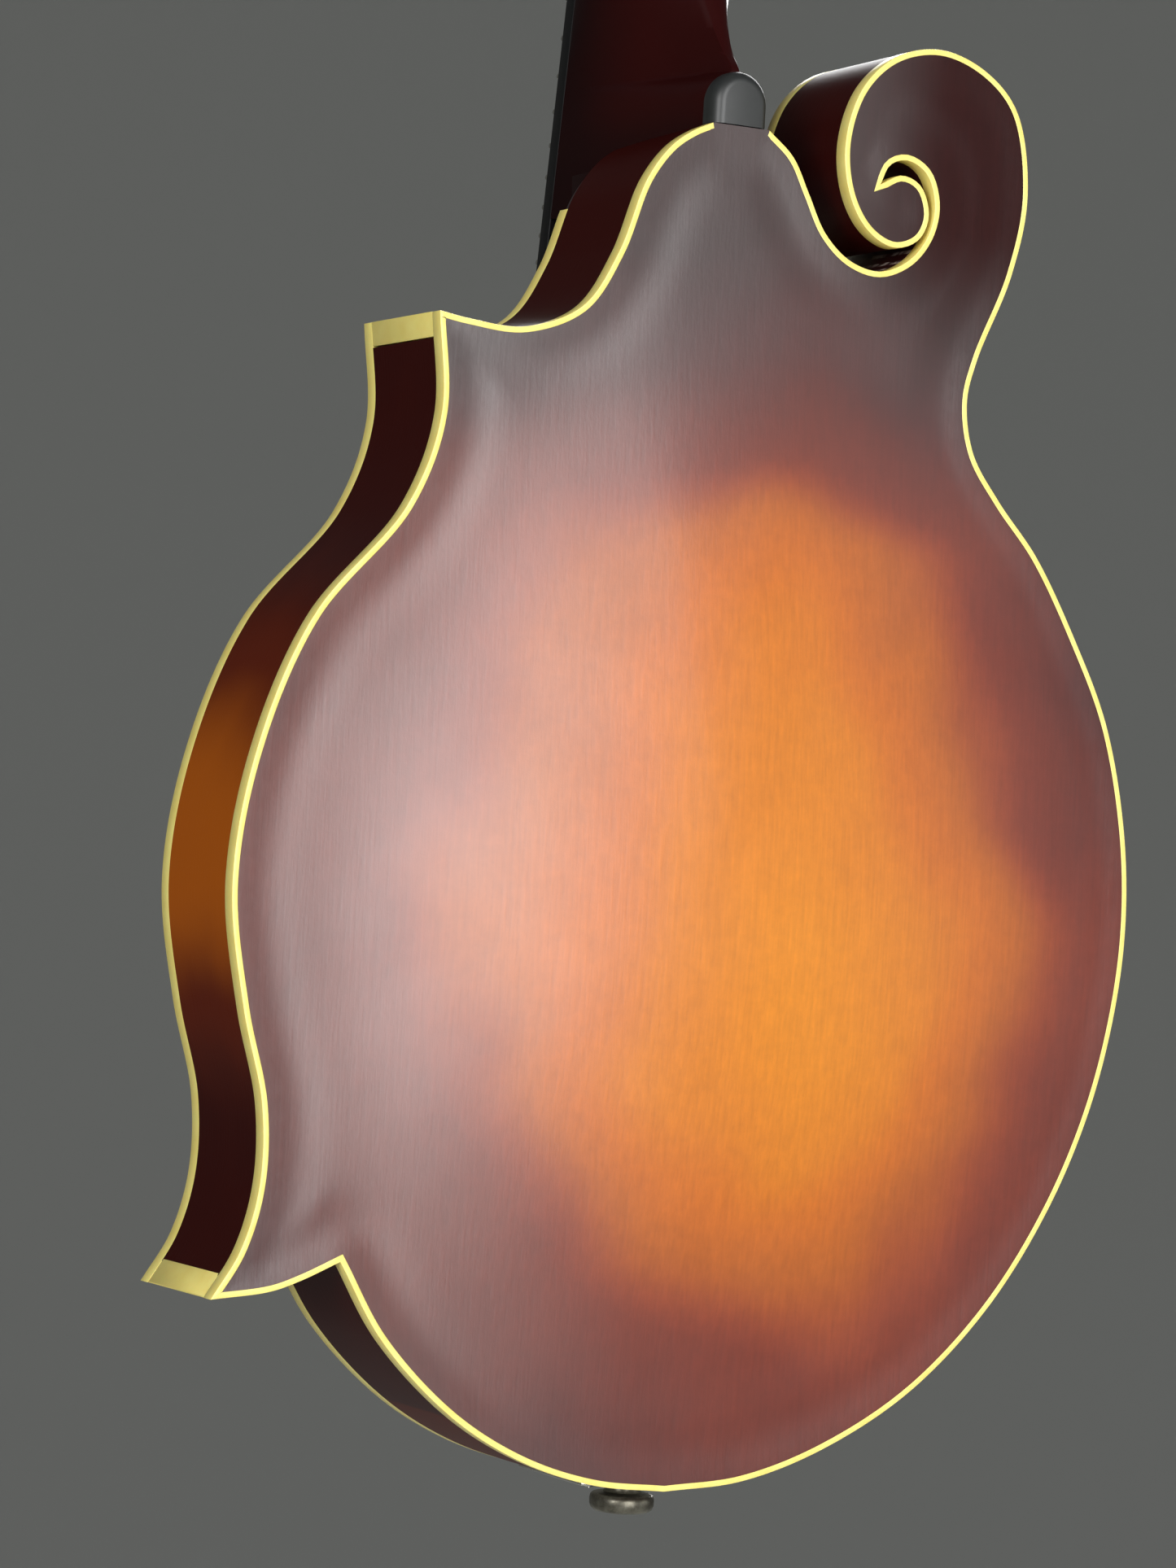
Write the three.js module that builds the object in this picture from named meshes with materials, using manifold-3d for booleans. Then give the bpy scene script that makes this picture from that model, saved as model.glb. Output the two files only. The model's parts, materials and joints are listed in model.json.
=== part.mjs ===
// An eight-string carved mandolin with a scroll and two points.
// Millimetres. +Z runs up the neck, the strings' side faces -Y and the back faces +Y.
// +X is the treble side, with the points; the scroll is on the bass side, at -X.

import * as THREE from 'three';
import { mergeVertices } from 'three/addons/utils/BufferGeometryUtils.js';
import Module from 'manifold-3d';

const wasm = await Module();
wasm.setup();

// ---- Driving dimensions ----------------------------------------------------------------

// Sound box
const bodyWidth = 254;
const bodyLength = 368.2;
const rimDepth = 44;
const plateEdge = 4.5;
const bindingWidth = 1.5;
const ribThickness = 2;
const backArch = 13;
const topArch = 16;
const plateThickness = 4;
const liningHeight = 10;
const capWidth = 6;
const tailBlockWidth = 76;
const tailBlockLength = 16;
const toneBarWidth = 6;
const toneBarHeight = 9;

// Neck and fingerboard
const scaleLength = 352.4;
const bodyFret = 15;
const neckTilt = 3.5;
const boardRise = 23;
const boardThickness = 5;
const boardOverhang = 54;
const nutWidth = 28.5;
const boardWidthAtBody = 40.6;
const neckDepthAtNut = 20;
const neckDepthAtBody = 22;
const heelCapHeight = 14;
const nutThickness = 4.8;
const nutRise = 0.9;
const tenonWidth = 12;
const tenonLength = 18;
const neckSeat = 20;
const trussRodRadius = 2.4;

// Head and tuners
const headTilt = 15;
const headThickness = 15;
const headDrop = 3.5;
const headHalfWidth = 31.5;
const headLength = 152;
const veneerThickness = 2;
const postPitch = 23;
const firstPost = 34;
const postInset = 14;
const postRadius = 3;
const postRise = 14;
const gearRadius = 4.6;
const gearTeeth = 15;
const gearThickness = 3;
const wormRadius = 2.3;
const keyShaftRadius = 1.45;
const buttonLength = 13;
const tunerPlateThickness = 1.2;
const tunerPlateWidth = 13;

// Bridge, tailpiece and end pin
const bridgeLength = 112;
const bridgeFootHeight = 8;
const bridgeWidth = 11;
const saddleLength = 92;
const saddleWidth = 6;
const actionAtBridge = 3.4;
const wheelRadius = 7;
const wheelThickness = 2.4;
const wheelSpacing = 76;
const bridgePostRadius = 1.8;
const tailpieceWidth = 32;
const tailpieceLength = 62;
const tailpieceSheet = 1.2;
const coverRise = 6;
const pinHeadRadius = 8.25;
const pinHeadThickness = 5;
const pinWaistRadius = 4.6;
const pinShankRadius = 3.2;

// Strings, from the bass side to the treble side
const courses = [
  { name: 'g', side: -1, gauge: 1.02, outer: true },
  { name: 'd', side: -1, gauge: 0.66, outer: false },
  { name: 'a', side: 1, gauge: 0.41, outer: false },
  { name: 'e', side: 1, gauge: 0.28, outer: true },
];
const courseSpacingAtNut = 7.6;
const courseSpacingAtBridge = 13;
const pairGapAtNut = 2.4;
const pairGapAtBridge = 3.2;

// Clearances
const glueGap = 0.1;
const fitGap = 0.3;
const archGap = 0.8;

// ---- Materials -------------------------------------------------------------------------

const lacquer = (color) => new THREE.MeshStandardMaterial({ color, roughness: 0.45, metalness: 0 });
const metal = (color, roughness) => new THREE.MeshStandardMaterial({ color, roughness, metalness: 1 });
const sunburst = lacquer(0xb8622a);
const darkRib = lacquer(0x4a1d12);
const darkNeck = lacquer(0x2a0f0c);
const ivoroid = lacquer(0xf0e8a8);
const rawSpruce = lacquer(0xd9bd8a);
const ebony = lacquer(0x1b1613);
const bone = lacquer(0xe8e0c8);
const pearlButton = lacquer(0xe9e5da);
const nickel = metal(0xb9b7ae, 0.3);
const agedNickel = metal(0x6c6a5a, 0.45);
const brass = metal(0xb08d3f, 0.35);
const stringSteel = metal(0xc8c8c4, 0.25);

// ---- Solids and meshes -----------------------------------------------------------------

function solid(geometry) {
  const bare = geometry.index ? geometry.toNonIndexed() : geometry.clone();
  bare.deleteAttribute('normal');
  bare.deleteAttribute('uv');
  const joined = mergeVertices(bare, 1e-4);
  const triVerts = Uint32Array.from(joined.index.array);
  const vertProperties = Float32Array.from(joined.attributes.position.array);
  return new wasm.Manifold(new wasm.Mesh({ numProp: 3, vertProperties, triVerts }));
}

function geometryOf(body) {
  const made = body.getMesh();
  const geometry = new THREE.BufferGeometry();
  geometry.setAttribute('position', new THREE.BufferAttribute(Float32Array.from(made.vertProperties), 3));
  geometry.setIndex(new THREE.BufferAttribute(Uint32Array.from(made.triVerts), 1));
  geometry.computeVertexNormals();
  return geometry;
}

function addPiece(parent, name, shape, material) {
  const piece = new THREE.Mesh(shape.isBufferGeometry ? shape : geometryOf(shape), material);
  piece.name = name;
  parent.add(piece);
  return piece;
}

function box(x, y, z, [cx, cy, cz]) {
  return new THREE.BoxGeometry(x, y, z).translate(cx, cy, cz);
}

// A flat outline in X and Z, given depth along Y.
function prism(points, yFrom, yTo) {
  const shape = new THREE.Shape(points);
  const geometry = new THREE.ExtrudeGeometry(shape, { depth: yTo - yFrom, bevelEnabled: false });
  return geometry.rotateX(Math.PI / 2).translate(0, yTo, 0);
}

// A flat outline in Y and Z, given width along X.
function slab(points, width, x = 0) {
  const geometry = new THREE.ExtrudeGeometry(new THREE.Shape(points), { depth: width, bevelEnabled: false });
  const turned = new THREE.Matrix4().makeBasis(
    new THREE.Vector3(0, 1, 0), new THREE.Vector3(0, 0, 1), new THREE.Vector3(1, 0, 0));
  return geometry.applyMatrix4(turned).translate(x - width / 2, 0, 0);
}

function roundBar(radius, from, to, sides = 16) {
  const along = to.clone().sub(from);
  const turn = new THREE.Quaternion()
    .setFromUnitVectors(new THREE.Vector3(0, 1, 0), along.clone().normalize());
  const middle = from.clone().add(to).multiplyScalar(0.5);
  return new THREE.CylinderGeometry(radius, radius, along.length(), sides).applyQuaternion(turn)
    .translate(middle.x, middle.y, middle.z);
}

const barAlongY = (radius, x, z, yFrom, yTo, sides) =>
  roundBar(radius, new THREE.Vector3(x, yFrom, z), new THREE.Vector3(x, yTo, z), sides);

const barAlongX = (radius, y, z, xFrom, xTo, sides) =>
  roundBar(radius, new THREE.Vector3(xFrom, y, z), new THREE.Vector3(xTo, y, z), sides);

// A tube through a few points in line, each ring square to the run beside it.
function tubeThrough(points, radius, sides = 8) {
  const runs = points.length - 1;
  const geometry = new THREE.CylinderGeometry(radius, radius, 1, sides, runs);
  const place = geometry.attributes.position;
  for (let i = 0; i < place.count; i += 1) {
    const ring = Math.round((0.5 - place.getY(i)) * runs);
    const ahead = points[Math.min(ring + 1, runs)].clone().sub(points[Math.max(ring - 1, 0)]).normalize();
    const across = new THREE.Vector3(1, 0, 0).addScaledVector(ahead, -ahead.x).normalize();
    const up = ahead.clone().cross(across);
    const spot = points[ring].clone()
      .addScaledVector(across, place.getX(i)).addScaledVector(up, place.getZ(i));
    place.setXYZ(i, spot.x, spot.y, spot.z);
  }
  return geometry;
}

// ---- Body outline ----------------------------------------------------------------------

// The outline is drawn at this size and stretched to the body's width and length.
const drawnWidth = 254;
const drawnLength = 368.2;
const at = (x, z) => new THREE.Vector2(x * bodyWidth / drawnWidth, z * bodyLength / drawnLength);

const heelSeam = { bass: at(-7.5, 341.5), treble: at(8.5, 341.5) };
const heelMiddle = (heelSeam.treble.x + heelSeam.bass.x) / 2;
const upperPoint = at(80.8, 286.8);
const lowerPoint = at(125.6, 46.6);
const notch = at(92.3, 56);
const slotTip = at(-40.8, 331.8);

// From the tail up the bass side, over the scroll and down into its curl.
const bassSide = [
  at(0, 0), at(-22, 2.4), at(-45, 10.3), at(-70, 25), at(-92, 46.5), at(-109, 72.5), at(-120, 98.5),
  at(-126.2, 125), at(-128, 148), at(-125.8, 172), at(-118.5, 199), at(-107, 221), at(-94, 241),
  at(-81.5, 254.5), at(-73, 266), at(-70.2, 279), at(-72.5, 290), at(-81.5, 313), at(-85, 334),
  at(-80.5, 355), at(-71, 364), at(-57, 368.2), at(-43.5, 364.8), at(-34, 355.5), at(-29.8, 341),
  at(-32, 328), at(-38, 319.5), at(-46, 316.2), at(-53, 319), at(-55.6, 325.3), at(-52.8, 332.7),
  at(-47, 334.8), slotTip,
];
// Back out of the curl, round under the scroll and up to the heel.
const slotSide = [
  slotTip, at(-43.3, 337), at(-48.3, 338.8), at(-54.3, 336), at(-57.2, 328.5), at(-55.8, 320.5),
  at(-50.5, 313.5), at(-42, 309.7), at(-33, 311.5), at(-25.5, 317.5), at(-20, 327), at(-15, 335.5),
  heelSeam.bass,
];
const trebleShoulder = [
  heelSeam.treble, at(14, 338.8), at(20, 334.2), at(26.2, 325.3), at(32.9, 306.4), at(41.9, 292.1),
  at(57.4, 285.3), at(72.8, 285.7), upperPoint,
];
const trebleWaist = [
  upperPoint, at(78.7, 262), at(86.2, 239.3), at(109.3, 210.5), at(122.2, 177), at(126.3, 145),
  at(121.5, 116), at(115.2, 93), at(114.6, 74), at(118.5, 58.5), lowerPoint,
];
const pointUnderside = [lowerPoint, at(110, 48.7), at(102, 51.5), notch];
const trebleTail = [notch, at(80, 37), at(60, 18.5), at(40, 7.5), at(20, 1.7), at(0, 0)];

const smallestTurn = THREE.MathUtils.degToRad(11);
const longestRun = 15;

// Points along a smooth curve, close together only where it bends.
function alongCurve(points) {
  const knots = points.map((p) => new THREE.Vector3(p.x, p.y, 0));
  const curve = new THREE.CatmullRomCurve3(knots, false, 'centripetal');
  const fine = curve.getSpacedPoints(Math.round(curve.getLength())).map((p) => new THREE.Vector2(p.x, p.y));
  const kept = [fine[0]];
  let heading = fine[1].clone().sub(fine[0]).angle();
  for (let i = 1; i < fine.length - 1; i += 1) {
    const ahead = fine[i + 1].clone().sub(fine[i]).angle();
    const turned = Math.abs(Math.atan2(Math.sin(ahead - heading), Math.cos(ahead - heading)));
    const run = fine[i].distanceTo(kept[kept.length - 1]);
    const room = run > 1.5 && fine[i].distanceTo(fine[fine.length - 1]) > 1.5;
    if (room && (turned > smallestTurn || run > longestRun)) {
      kept.push(fine[i]);
      heading = ahead;
    }
  }
  kept.push(fine[fine.length - 1]);
  return kept;
}

// The whole outline, clockwise as seen from the strings' side, and where each stretch starts.
const outline = [];
const starts = {};
const stretches = { bassSide, slotSide, heel: null, trebleShoulder, trebleWaist, pointUnderside, trebleTail };
for (const [name, stretch] of Object.entries(stretches)) {
  starts[name] = outline.length;
  if (stretch) outline.push(...alongCurve(stretch).slice(0, -1));
  else outline.push(heelSeam.bass);
}

const longestMitre = 1.9;

// The outline's point moved into the wood by an inset, square to the edge.
function insetPoint(index, inset) {
  const count = outline.length;
  const here = outline[(index + count) % count];
  const before = outline[(index - 1 + count) % count];
  const after = outline[(index + 1) % count];
  const into = (a, b) => new THREE.Vector2(b.y - a.y, a.x - b.x).normalize();
  const first = into(before, here);
  const bisector = first.clone().add(into(here, after)).normalize();
  const reach = Math.min(1 / Math.max(bisector.dot(first), 0.1), longestMitre);
  return here.clone().addScaledVector(bisector, inset * reach);
}

const insetOutline = (inset) => outline.map((_, i) => insetPoint(i, inset));

// A strip that follows the outline between two of its points, as wide as the two insets say.
function strip(from, to, outerInset, innerInset) {
  const count = (to - from + outline.length) % outline.length;
  const indices = Array.from({ length: count + 1 }, (_, i) => from + i);
  const outer = indices.map((i) => insetPoint(i, outerInset));
  const inner = indices.map((i) => insetPoint(i, innerInset));
  return [...outer, ...inner.reverse()];
}

const cornerBlock = (point, width) => solid(box(width, rimDepth * 2, width, [point.x, 0, point.y]));

// ---- Arching ---------------------------------------------------------------------------

const archCentre = at(0, 152);
const archEdge = new THREE.CatmullRomCurve3([
  at(0, 12), at(-45, 23), at(-84, 54), at(-110, 98), at(-117, 148), at(-107, 198), at(-82, 238),
  at(-62, 262), at(-54, 290), at(-28, 302), at(0, 322), at(26, 300), at(50, 276), at(68, 258),
  at(80, 234), at(103, 200), at(114, 150), at(108, 108), at(98, 70), at(76, 42), at(45, 20),
].map((p) => new THREE.Vector3(p.x, p.y, 0)), true, 'centripetal').getPoints(84);

// 0 at the arch's centre and 1 at its edge, measured along a ray from the centre.
function archReach(x, z) {
  const ray = new THREE.Vector2(x, z).sub(archCentre);
  for (let i = 0; i < archEdge.length - 1; i += 1) {
    const a = new THREE.Vector2(archEdge[i].x, archEdge[i].y).sub(archCentre);
    const b = new THREE.Vector2(archEdge[i + 1].x, archEdge[i + 1].y).sub(archCentre);
    const whole = a.cross(b);
    const alongA = ray.cross(b) / whole;
    const alongB = a.cross(ray) / whole;
    if (alongA >= -1e-9 && alongB >= -1e-9) return alongA + alongB;
  }
  return 0;
}

function archAt(x, z, height) {
  const reach = Math.min(archReach(x, z), 1);
  return height * (1 - reach * reach) ** 2;
}

const edgeFace = rimDepth / 2;
const ribFace = edgeFace - plateEdge;
const topSurface = (x, z) => -edgeFace - archAt(x, z, topArch);
const topInside = (x, z) => -ribFace - archAt(x, z, topArch + plateEdge - plateThickness);

const plateCells = [20, 28];

// A carved plate: an arched slab cut to the inside of its binding.
function carvedPlate(arch, cutout) {
  const width = bodyWidth * 1.1;
  const length = bodyLength * 1.1;
  const middle = bodyLength / 2;
  const blank = new THREE.BoxGeometry(width, 1, length, plateCells[0], 1, plateCells[1]);
  const place = blank.attributes.position;
  for (let i = 0; i < place.count; i += 1) {
    const x = place.getX(i);
    const z = place.getZ(i) + middle;
    const outside = place.getY(i) > 0;
    const inner = ribFace + archAt(x, z, arch + plateEdge - plateThickness);
    const level = outside ? edgeFace + archAt(x, z, arch) : inner;
    place.setXYZ(i, x, level + (outside ? 0 : glueGap), z);
  }
  const reach = edgeFace + arch + plateEdge;
  return solid(blank).intersect(solid(prism(cutout, 0, reach)));
}

// ---- Assembly groups -------------------------------------------------------------------

const fretPlace = (fret) => scaleLength * (1 - 2 ** (-fret / 12));
const neckLength = fretPlace(bodyFret);
const jointZ = heelSeam.bass.y;

// The neck's own frame: its origin is on the fingerboard's face at the body, +Z runs to the nut.
const neckFrame = new THREE.Group();
neckFrame.position.set(0, -edgeFace - boardRise, jointZ);
neckFrame.rotation.x = -THREE.MathUtils.degToRad(neckTilt);

// The head's own frame: its origin is on the veneer's face behind the nut.
const headFrame = new THREE.Group();
headFrame.position.set(0, headDrop, neckLength + nutThickness);
headFrame.rotation.x = -THREE.MathUtils.degToRad(headTilt);
neckFrame.add(headFrame);
neckFrame.updateMatrixWorld(true);

const fromNeck = (x, y, z) => new THREE.Vector3(x, y, z).applyMatrix4(neckFrame.matrixWorld);
const fromHead = (x, y, z) => new THREE.Vector3(x, y, z).applyMatrix4(headFrame.matrixWorld);

const body = new THREE.Group();

// ---- Plates ----------------------------------------------------------------------------

const plateInset = bindingWidth + glueGap;
addPiece(body, 'back_plate', carvedPlate(backArch, insetOutline(plateInset)), sunburst);

// The top stops under the neck, and has two f-shaped holes beside the bridge.
const neckCutout = { x: boardWidthAtBody / 2 + 1, z: jointZ - neckSeat };
const holeReach = edgeFace + topArch + plateEdge * 2;

function soundHole(side) {
  const stem = new THREE.CatmullRomCurve3([
    at(31.5, 214), at(33, 223), at(39, 228), at(44, 222), at(44, 205), at(45, 186), at(48, 166),
    at(54, 154), at(61, 154), at(64, 162),
  ].map((p) => new THREE.Vector3(p.x * side, p.y, 0)), false, 'centripetal').getPoints(18);
  const left = [];
  const right = [];
  stem.forEach((p, i) => {
    const ahead = stem[Math.min(i + 1, stem.length - 1)].clone().sub(stem[Math.max(i - 1, 0)]).normalize();
    const half = 1.2 + 2.2 * Math.sin(Math.PI * i / (stem.length - 1)) ** 2;
    left.push(new THREE.Vector2(p.x - ahead.y * half, p.y + ahead.x * half));
    right.push(new THREE.Vector2(p.x + ahead.y * half, p.y - ahead.x * half));
  });
  const upper = at(31.5 * side, 214);
  const lower = at(64 * side, 162);
  return solid(prism([...left, ...right.reverse()], 0, holeReach))
    .add(solid(barAlongY(4, upper.x, upper.y, 0, holeReach, 12)))
    .add(solid(barAlongY(4.8, lower.x, lower.y, 0, holeReach, 12)));
}

const neckOpening = box(neckCutout.x * 2, rimDepth * 4, 80, [0, 0, neckCutout.z + 40]);
const topPlate = carvedPlate(topArch, insetOutline(plateInset))
  .subtract(soundHole(-1)).subtract(soundHole(1)).subtract(solid(neckOpening));
const facingStrings = (shape) => geometryOf(shape.mirror([0, 1, 0]));
addPiece(body, 'top_plate', facingStrings(topPlate), sunburst);

// ---- Bindings and point caps -----------------------------------------------------------

const last = outline.length;
const bindingStrip = strip(starts.trebleShoulder, starts.heel + last, 0, bindingWidth);
addPiece(body, 'binding_back', prism(bindingStrip, ribFace + glueGap, edgeFace), ivoroid);

const topOpening = box(neckCutout.x * 2 + 2, rimDepth * 2, 80, [0, 0, neckCutout.z + 40]);
const bindingTop = solid(prism(bindingStrip, -edgeFace, -ribFace - glueGap)).subtract(solid(topOpening));
addPiece(body, 'binding_top', bindingTop, ivoroid);

// ---- Ribs ------------------------------------------------------------------------------

const pinHole = solid(roundBar(pinShankRadius + fitGap, new THREE.Vector3(0, 0, -tailBlockLength),
  new THREE.Vector3(0, 0, tailBlockLength * 2)));

function rib(from, to, cuts) {
  let shape = solid(prism(strip(from, to, 0, ribThickness), -ribFace, ribFace));
  for (const cut of cuts) shape = shape.subtract(cut);
  return largestOf(shape);
}

// A boolean cut can leave crumbs beside the piece; the piece is the largest of them.
function largestOf(shape) {
  return shape.decompose().sort((a, b) => b.volume() - a.volume())[0];
}

// The ribs meet at the tail with a hairline between them, and stop at the points' caps.
const tailJoint = solid(box(fitGap, rimDepth, ribThickness * 4, [0, 0, 0]));
const capRoom = (capWidth + glueGap) * 2;
const upperCorner = cornerBlock(upperPoint, capRoom);
const lowerCorner = cornerBlock(lowerPoint, capRoom);
addPiece(body, 'rib_bass', rib(starts.bassSide, starts.slotSide, [tailJoint, pinHole]), darkRib);
addPiece(body, 'rib_treble_lower',
  rib(starts.pointUnderside, last, [tailJoint, pinHole, lowerCorner]), darkRib);
addPiece(body, 'rib_treble_waist',
  rib(starts.trebleWaist, starts.pointUnderside, [upperCorner, lowerCorner]), darkRib);
addPiece(body, 'rib_treble_upper', rib(starts.trebleShoulder, starts.trebleWaist, [upperCorner]), darkRib);

// ---- Point caps: the ivoroid corners that join the two bindings ------------------------

const blockFace = ribFace - glueGap;
const pointCap = (point) => solid(prism(outline, -blockFace, blockFace))
  .intersect(cornerBlock(point, capWidth * 2));
addPiece(body, 'point_cap_upper', pointCap(upperPoint), ivoroid);
addPiece(body, 'point_cap_lower', pointCap(lowerPoint), ivoroid);

// ---- Linings and blocks inside the sound box -------------------------------------------

// The hollow follows the arch's edge and stops at the head block.
const headBlockFace = at(0, 298).y;
const liningReach = at(0, 9).y;
const hollow = (outset) => solid(prism(archEdge.slice(0, -1).map((p) => {
  const ray = new THREE.Vector2(p.x, p.y).sub(archCentre);
  const spot = ray.multiplyScalar(1 + outset / ray.length()).add(archCentre);
  return new THREE.Vector2(spot.x, Math.min(spot.y, headBlockFace + outset));
}), -rimDepth, rimDepth));

const ribRoom = ribThickness + glueGap;
const insideOfRibs = solid(prism(insetOutline(ribRoom), -blockFace, blockFace));
const liningRing = insideOfRibs.intersect(hollow(liningReach)).subtract(hollow(0));
const liningPiece = (from, to) => largestOf(liningRing.intersect(
  solid(box(bodyWidth * 2, to - from, bodyLength * 3, [0, (from + to) / 2, 0]))));
addPiece(body, 'lining_back', liningPiece(blockFace - liningHeight, blockFace), rawSpruce);
addPiece(body, 'lining_top', liningPiece(-blockFace, liningHeight - blockFace), rawSpruce);

// The points are filled by solid blocks outside the linings.
const outsideLining = insideOfRibs.subtract(hollow(liningReach + glueGap));
const region = (low, high) => solid(box(high.x - low.x, rimDepth, high.y - low.y,
  [(low.x + high.x) / 2, 0, (low.y + high.y) / 2]));
const upperBlock = outsideLining.intersect(region(at(46, 240), at(110, 300))).subtract(upperCorner);
const lowerBlock = outsideLining.intersect(region(at(84, 30), at(140, 92))).subtract(lowerCorner);
addPiece(body, 'point_block_upper', largestOf(upperBlock), rawSpruce);
addPiece(body, 'point_block_lower', largestOf(lowerBlock), rawSpruce);

const tailBlockFace = blockFace - liningHeight - fitGap;
const tailBlock = insideOfRibs
  .intersect(solid(box(tailBlockWidth, tailBlockFace * 2, tailBlockLength * 2, [0, 0, ribRoom])))
  .subtract(pinHole);
addPiece(body, 'tail_block', largestOf(tailBlock), rawSpruce);

// The head block holds the neck's tenon and fills the scroll; it shows in the scroll's curl.
const ribBed = (from, to) => solid(prism(strip(from, to, -ribRoom / 4, ribRoom), -edgeFace, edgeFace));
const tenonDepth = edgeFace + ribFace - plateEdge;
const tenonPocket = solid(box(tenonWidth + fitGap * 2, tenonDepth + fitGap * 2, tenonLength * 2 + fitGap * 2,
  [heelMiddle, ribFace - tenonDepth / 2 - plateEdge, jointZ]));
const headBlock = solid(prism(insetOutline(glueGap), -blockFace, blockFace))
  .subtract(ribBed(starts.bassSide, starts.slotSide))
  .subtract(ribBed(starts.trebleShoulder, starts.trebleWaist))
  .subtract(hollow(liningReach + glueGap))
  .intersect(region(at(-110, 272), at(45.5, 380)))
  .subtract(tenonPocket);
addPiece(body, 'head_block', largestOf(headBlock), darkRib);

// ---- Tone bars under the top -----------------------------------------------------------

const barSpread = { upper: at(20, 272), lower: at(30, 92) };
function toneBar(side) {
  const top = new THREE.Vector3(barSpread.upper.x * side, 0, barSpread.upper.y);
  const foot = new THREE.Vector3(barSpread.lower.x * side, 0, barSpread.lower.y);
  const length = top.distanceTo(foot);
  const middle = top.clone().add(foot).multiplyScalar(0.5);
  const blank = new THREE.BoxGeometry(toneBarWidth, 1, length, 1, 1, 9);
  const place = blank.attributes.position;
  const turn = Math.atan2(top.x - foot.x, top.z - foot.z);
  for (let i = 0; i < place.count; i += 1) {
    const along = place.getZ(i);
    const spot = new THREE.Vector3(place.getX(i), 0, along)
      .applyAxisAngle(new THREE.Vector3(0, 1, 0), turn).add(middle);
    const glued = topInside(spot.x, spot.z) + archGap;
    const taper = 1 - (2 * along / length) ** 4 * 0.6;
    const level = place.getY(i) < 0 ? glued : topInside(middle.x, spot.z) + archGap + toneBarHeight * taper;
    place.setXYZ(i, spot.x, level, spot.z);
  }
  return blank;
}
addPiece(body, 'tone_bar_bass', toneBar(-1), rawSpruce);
addPiece(body, 'tone_bar_treble', toneBar(1), rawSpruce);

// ---- Neck ------------------------------------------------------------------------------

const tilt = THREE.MathUtils.degToRad(neckTilt);
const boardFace = (z) => -edgeFace - boardRise + (z - jointZ) * Math.tan(tilt);
const glueFace = (z) => boardFace(z) + (boardThickness + glueGap) / Math.cos(tilt);
const boardHalf = (along) => THREE.MathUtils.lerp(boardWidthAtBody, nutWidth, along / neckLength) / 2;
const neckTop = fromNeck(0, boardThickness, neckLength + nutThickness).z;

const heelHalf = (heelSeam.treble.x - heelSeam.bass.x) / 2 - glueGap;
const capStraight = heelCapHeight * 0.4;
const capHalf = (rise) => {
  const over = Math.max(rise - capStraight, 0) / (heelCapHeight - capStraight);
  return heelHalf * Math.sqrt(Math.max(1 - over ** 2, 0));
};

// The neck's back, from under the heel cap to the nut, as (height above the body, Y).
const backRidge = new THREE.CatmullRomCurve3([
  [0, ribFace], [heelCapHeight, ribFace],
  [heelCapHeight + 1.5, ribFace - 0.7], [heelCapHeight + 6, ribFace - 5],
  [heelCapHeight + 13, ribFace - 9.5], [heelCapHeight + 21, ribFace - 13.5],
  [heelCapHeight + 36, ribFace - 21], [heelCapHeight + 56, ribFace - 29.5],
  [heelCapHeight + 81, boardFace(jointZ + heelCapHeight + 81) + neckDepthAtBody],
  [neckTop - jointZ, boardFace(neckTop) + neckDepthAtNut],
].map(([rise, y]) => new THREE.Vector3(rise, y, 0)), false, 'centripetal').getPoints(240);
const ridgeAt = (z) => Math.min((backRidge.find((p) => p.x >= z - jointZ) ?? backRidge.at(-1)).y, ribFace);

const neckLevels = [
  fitGap - neckSeat, 0, 4, 8, 11, 13, 14, 17, 21, 27, 35, 48, 64, 84, 110,
  neckTop - jointZ - 30, neckTop - jointZ,
];
const neckSides = 30;
const frontShare = 0.2;
const flatShare = 0.3;

// One point of the neck's section: round behind on the shaft, tapered to a flat at the heel.
function neckSection(turn, z) {
  const front = glueFace(z);
  const half = boardHalf((z - jointZ) / Math.cos(tilt));
  const depth = ridgeAt(z) - front;
  if (turn > 1 - frontShare) {
    const across = (turn - 1 + frontShare) / frontShare;
    return [half * (2 * across - 1), front];
  }
  const angle = Math.PI * turn / (1 - frontShare);
  const heel = 1 - THREE.MathUtils.smoothstep(z - jointZ, heelCapHeight - 2, heelCapHeight + 40);
  const side = Math.cos(angle);
  const flatHalf = z - jointZ < heelCapHeight ? capHalf(Math.max(z - jointZ, 0)) : 1;
  const run = Math.max((Math.abs(side) - flatShare) / (1 - flatShare), 0);
  const heelX = run > 0
    ? Math.sign(side) * (flatHalf + (half - flatHalf) * run ** 1.2)
    : flatHalf * side / flatShare;
  const heelDepth = run > 0 ? 1 - run ** 1.1 : 1;
  const x = THREE.MathUtils.lerp(half * side, heelX, heel);
  const back = THREE.MathUtils.lerp(Math.sin(angle), heelDepth, heel);
  return [x + heelMiddle * heel * back, front + depth * back];
}

// A round bar's rings moved to a piece's own sections; section(turn, level) gives X, Y and Z.
function loft(sides, levels, section) {
  const runs = levels.length - 1;
  const geometry = new THREE.CylinderGeometry(1, 1, 1, sides, runs);
  const place = geometry.attributes.position;
  for (let i = 0; i < place.count; i += 1) {
    const ring = Math.round((0.5 - place.getY(i)) * runs);
    const centre = Math.hypot(place.getX(i), place.getZ(i)) < 0.5;
    const turn = (1 - Math.atan2(place.getX(i), place.getZ(i)) / (2 * Math.PI)) % 1;
    const step = Math.round(turn * sides) % sides;
    const turns = centre ? [0.2, 0.6, 0.9] : [step / sides];
    const spots = turns.map((t) => section(t, levels[ring]));
    const spot = spots.reduce((sum, p) => sum.map((v, k) => v + p[k] / spots.length), [0, 0, 0]);
    place.setXYZ(i, ...spot);
  }
  return geometry;
}

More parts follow.
